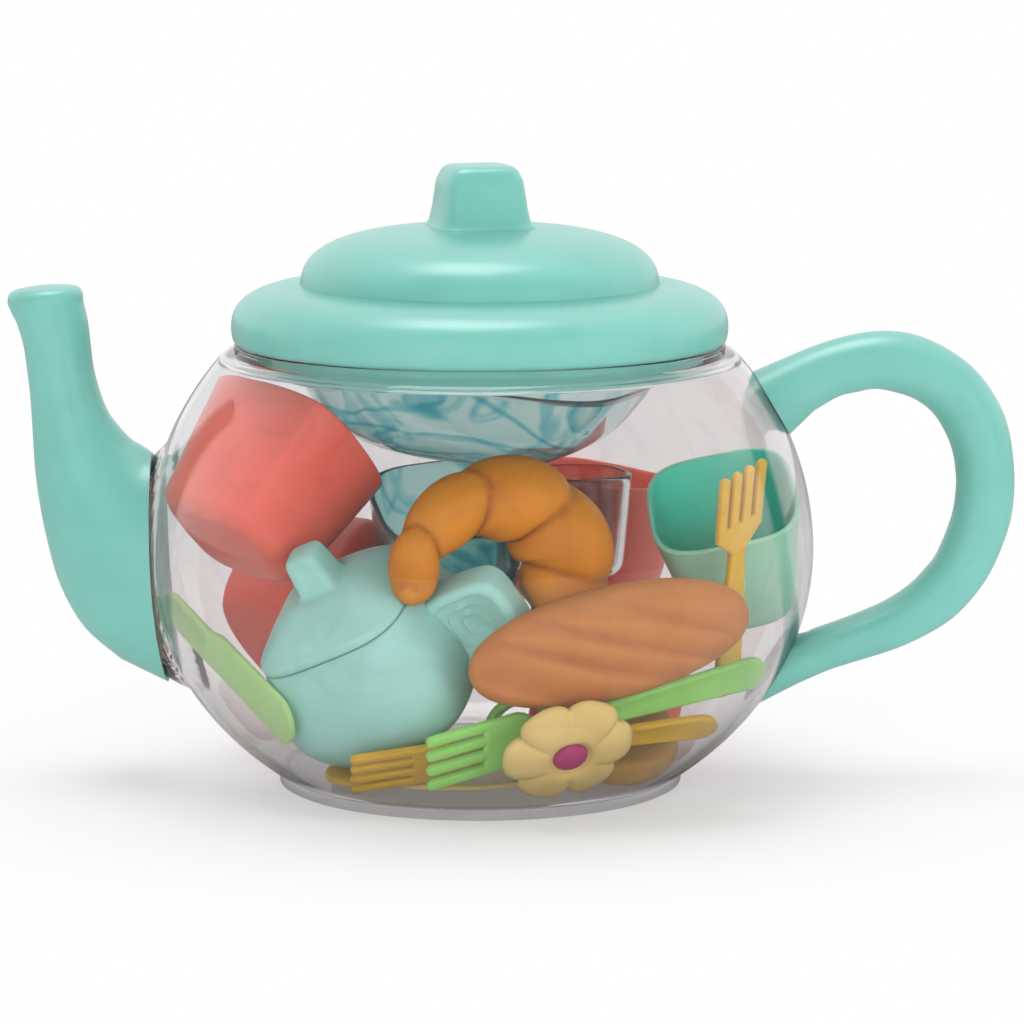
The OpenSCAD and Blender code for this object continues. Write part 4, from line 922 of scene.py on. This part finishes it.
# %% The white table
def white_ground(name, clear_at, white_at, cloud_mm=125.0, least_white=0.38, card_share=0.5):
    material, tree = new_tree(name)
    place = add(tree, 'ShaderNodeTexCoord')
    cloud = add(tree, 'ShaderNodeTexNoise', {'Scale': 1000 / cloud_mm, 'Detail': 2.0},
                {'Vector': place.outputs['Object']})
    shade = add(tree, 'ShaderNodeMapRange', {'To Min': 0.93, 'To Max': 0.95},
                {'Value': cloud.outputs['Fac']})
    matt = add(tree, 'ShaderNodeBsdfDiffuse', links={'Color': shade.outputs['Result']})
    white = add(tree, 'ShaderNodeEmission', {'Strength': 1.0})
    far = add(tree, 'ShaderNodeVectorMath', {'operation': 'LENGTH'}, {0: place.outputs['Object']})
    fade = add(tree, 'ShaderNodeMapRange',
               {'From Min': clear_at, 'From Max': white_at, 'To Min': least_white},
               {'Value': far.outputs['Value']})
    through = add(tree, 'ShaderNodeMapRange', {'From Min': clear_at, 'From Max': white_at},
                  {'Value': far.outputs['Value']})
    ray = add(tree, 'ShaderNodeLightPath')
    straight = add(tree, 'ShaderNodeMath', {'operation': 'MULTIPLY'},
                   {0: ray.outputs['Is Camera Ray'], 1: fade.outputs['Result']})
    passed = only_passed(tree, ray)
    bent = add(tree, 'ShaderNodeMath', {'operation': 'MULTIPLY'},
               {0: passed.outputs['Value'], 1: through.outputs['Result']})
    lift = add(tree, 'ShaderNodeMath', {'operation': 'MAXIMUM'},
               {0: straight.outputs['Value'], 1: bent.outputs['Value']})
    outer = add(tree, 'ShaderNodeMath', {'operation': 'LESS_THAN', 1: 0.5},
                {0: ray.outputs['Transmission Depth']})
    mirrored = add(tree, 'ShaderNodeMath', {'operation': 'MULTIPLY'},
                   {0: ray.outputs['Is Glossy Ray'], 1: outer.outputs['Value']})
    dim = add(tree, 'ShaderNodeMath', {'operation': 'MULTIPLY', 1: card_share},
              {0: mirrored.outputs['Value']})
    card = add(tree, 'ShaderNodeBsdfDiffuse', {'Color': (0.2, 0.175, 0.15, 1)})
    ground = add(tree, 'ShaderNodeMixShader',
                 links={0: dim.outputs['Value'], 1: matt.outputs['BSDF'], 2: card.outputs['BSDF']})
    mix = add(tree, 'ShaderNodeMixShader',
              links={0: lift.outputs['Value'], 1: ground.outputs['Shader'], 2: white.outputs['Emission']})
    add(tree, 'ShaderNodeOutputMaterial', links={'Surface': mix.outputs['Shader']})
    return material

FLOOR_HALF = 6.0
mesh = bpy.data.meshes.new("floor")
bm = bmesh.new()
bmesh.ops.create_grid(bm, x_segments=8, y_segments=8, size=FLOOR_HALF)
bm.to_mesh(mesh)
bm.free()
floor = bpy.data.objects.new("floor", mesh)
bpy.context.scene.collection.objects.link(floor)
floor.data.materials.append(white_ground("matt_white_floor", 0.11, 0.27))
print("floor", 2 * FLOOR_HALF, "m wide")

# %% [markdown]
# The room is bright behind the toy and dim in front of it, so that the wall mirrors little. What
# the camera sees past the toy, or straight through the clear plastic, is pure white. Light that
# has entered the plastic finds a room of at least half that brightness on all sides, which keeps
# the colours of the heap full.

# %% The room
DIM, BRIGHT, INNER = 0.15, 1.0, 0.5
scene = bpy.context.scene
world = bpy.data.worlds.new("white_studio")
scene.world = world
world.use_nodes = True
tree = world.node_tree
tree.nodes.clear()
way = add(tree, 'ShaderNodeTexCoord')
axes = add(tree, 'ShaderNodeSeparateXYZ', links={0: way.outputs['Generated']})
behind = add(tree, 'ShaderNodeMapRange',
             {'From Min': -0.6, 'From Max': 0.25, 'To Min': DIM, 'To Max': BRIGHT},
             {'Value': axes.outputs['Y']})
ray = add(tree, 'ShaderNodeLightPath')
bent = add(tree, 'ShaderNodeMath', {'operation': 'GREATER_THAN', 1: 0.5},
           {0: ray.outputs['Transmission Depth']})
fill = add(tree, 'ShaderNodeMath', {'operation': 'MULTIPLY', 1: INNER}, {0: bent.outputs['Value']})
level = add(tree, 'ShaderNodeMath', {'operation': 'MAXIMUM'},
            {0: behind.outputs['Result'], 1: fill.outputs['Value']})
soft = add(tree, 'ShaderNodeBackground', {'Color': (1, 1, 1, 1)}, {'Strength': level.outputs['Value']})
plain = add(tree, 'ShaderNodeBackground', {'Color': (1, 1, 1, 1), 'Strength': BRIGHT})
passed = only_passed(tree, ray)
seen = add(tree, 'ShaderNodeMath', {'operation': 'MAXIMUM'},
           {0: ray.outputs['Is Camera Ray'], 1: passed.outputs['Value']})
mix = add(tree, 'ShaderNodeMixShader',
          links={0: seen.outputs['Value'], 1: soft.outputs['Background'], 2: plain.outputs['Background']})
add(tree, 'ShaderNodeOutputWorld', links={'Surface': mix.outputs['Shader']})
print("room from", DIM, "in front to", BRIGHT, "behind")

# %% [markdown]
# A large softbox overhead gives the pale top of the lid. Two lamps stand low in front and at the
# right, and light the heap through the wall. The wall would mirror them as two bright patches. A
# photographer takes those out with polarising filters, so both lamps are left out of mirror
# images, and of light that has met a mirror on its way.

# %% Lamps
def lamp(name, place, aim, size, watts):
    data = bpy.data.lights.new(name, 'AREA')
    data.shape = 'RECTANGLE'
    data.size, data.size_y = size
    data.energy = watts
    obj = bpy.data.objects.new(name, data)
    scene.collection.objects.link(obj)
    obj.location = place
    obj.rotation_euler = (Vector(aim) - Vector(place)).to_track_quat('-Z', 'Y').to_euler()
    print(name, watts, "W")
    return obj

lamp("overhead_softbox", (-0.1, 0.05, 1.5), (0, 0, 0.1), (0.75, 0.75), 6.5)
front = lamp("polarised_front_lamp", (-0.4, -1.45, 0.4), (0, 0, 0.06), (1.2, 0.7), 7.6)
side = lamp("polarised_side_lamp", (1.0, -1.1, 0.35), (0, 0, 0.06), (0.9, 0.6), 6.5)
for polarised in (front, side):
    polarised.visible_glossy = False
    polarised.data.use_nodes = True
    tree = polarised.data.node_tree
    ray = add(tree, 'ShaderNodeLightPath')
    unmirrored = add(tree, 'ShaderNodeMath', {'operation': 'LESS_THAN', 1: 0.5},
                     {0: ray.outputs['Glossy Depth']})
    tree.links.new(unmirrored.outputs['Value'], tree.nodes['Emission'].inputs['Strength'])

# %% [markdown]
# The camera stands where the photographer stood: about 1.6 m away, a little above the toy and
# looking slightly down, through a long lens.

# %% Camera
PIXELS, FOCAL_PX, SENSOR_MM, LOOK_DOWN, LOOK_ASIDE = 1024, 4746.0, 36.0, 8.897, -0.391
cam_data = bpy.data.cameras.new("photo_view")
cam_data.sensor_width = SENSOR_MM
cam_data.lens = FOCAL_PX * SENSOR_MM / PIXELS
cam_data.clip_end = 30.0
camera = bpy.data.objects.new("photo_view", cam_data)
scene.collection.objects.link(camera)
camera.location = (0.0, -1.563, 0.335)
camera.rotation_euler = (math.radians(90 - LOOK_DOWN), 0.0, math.radians(LOOK_ASIDE))
scene.camera = camera
scene.view_settings.view_transform = 'Standard'
print("camera lens", round(cam_data.lens, 1), "mm")
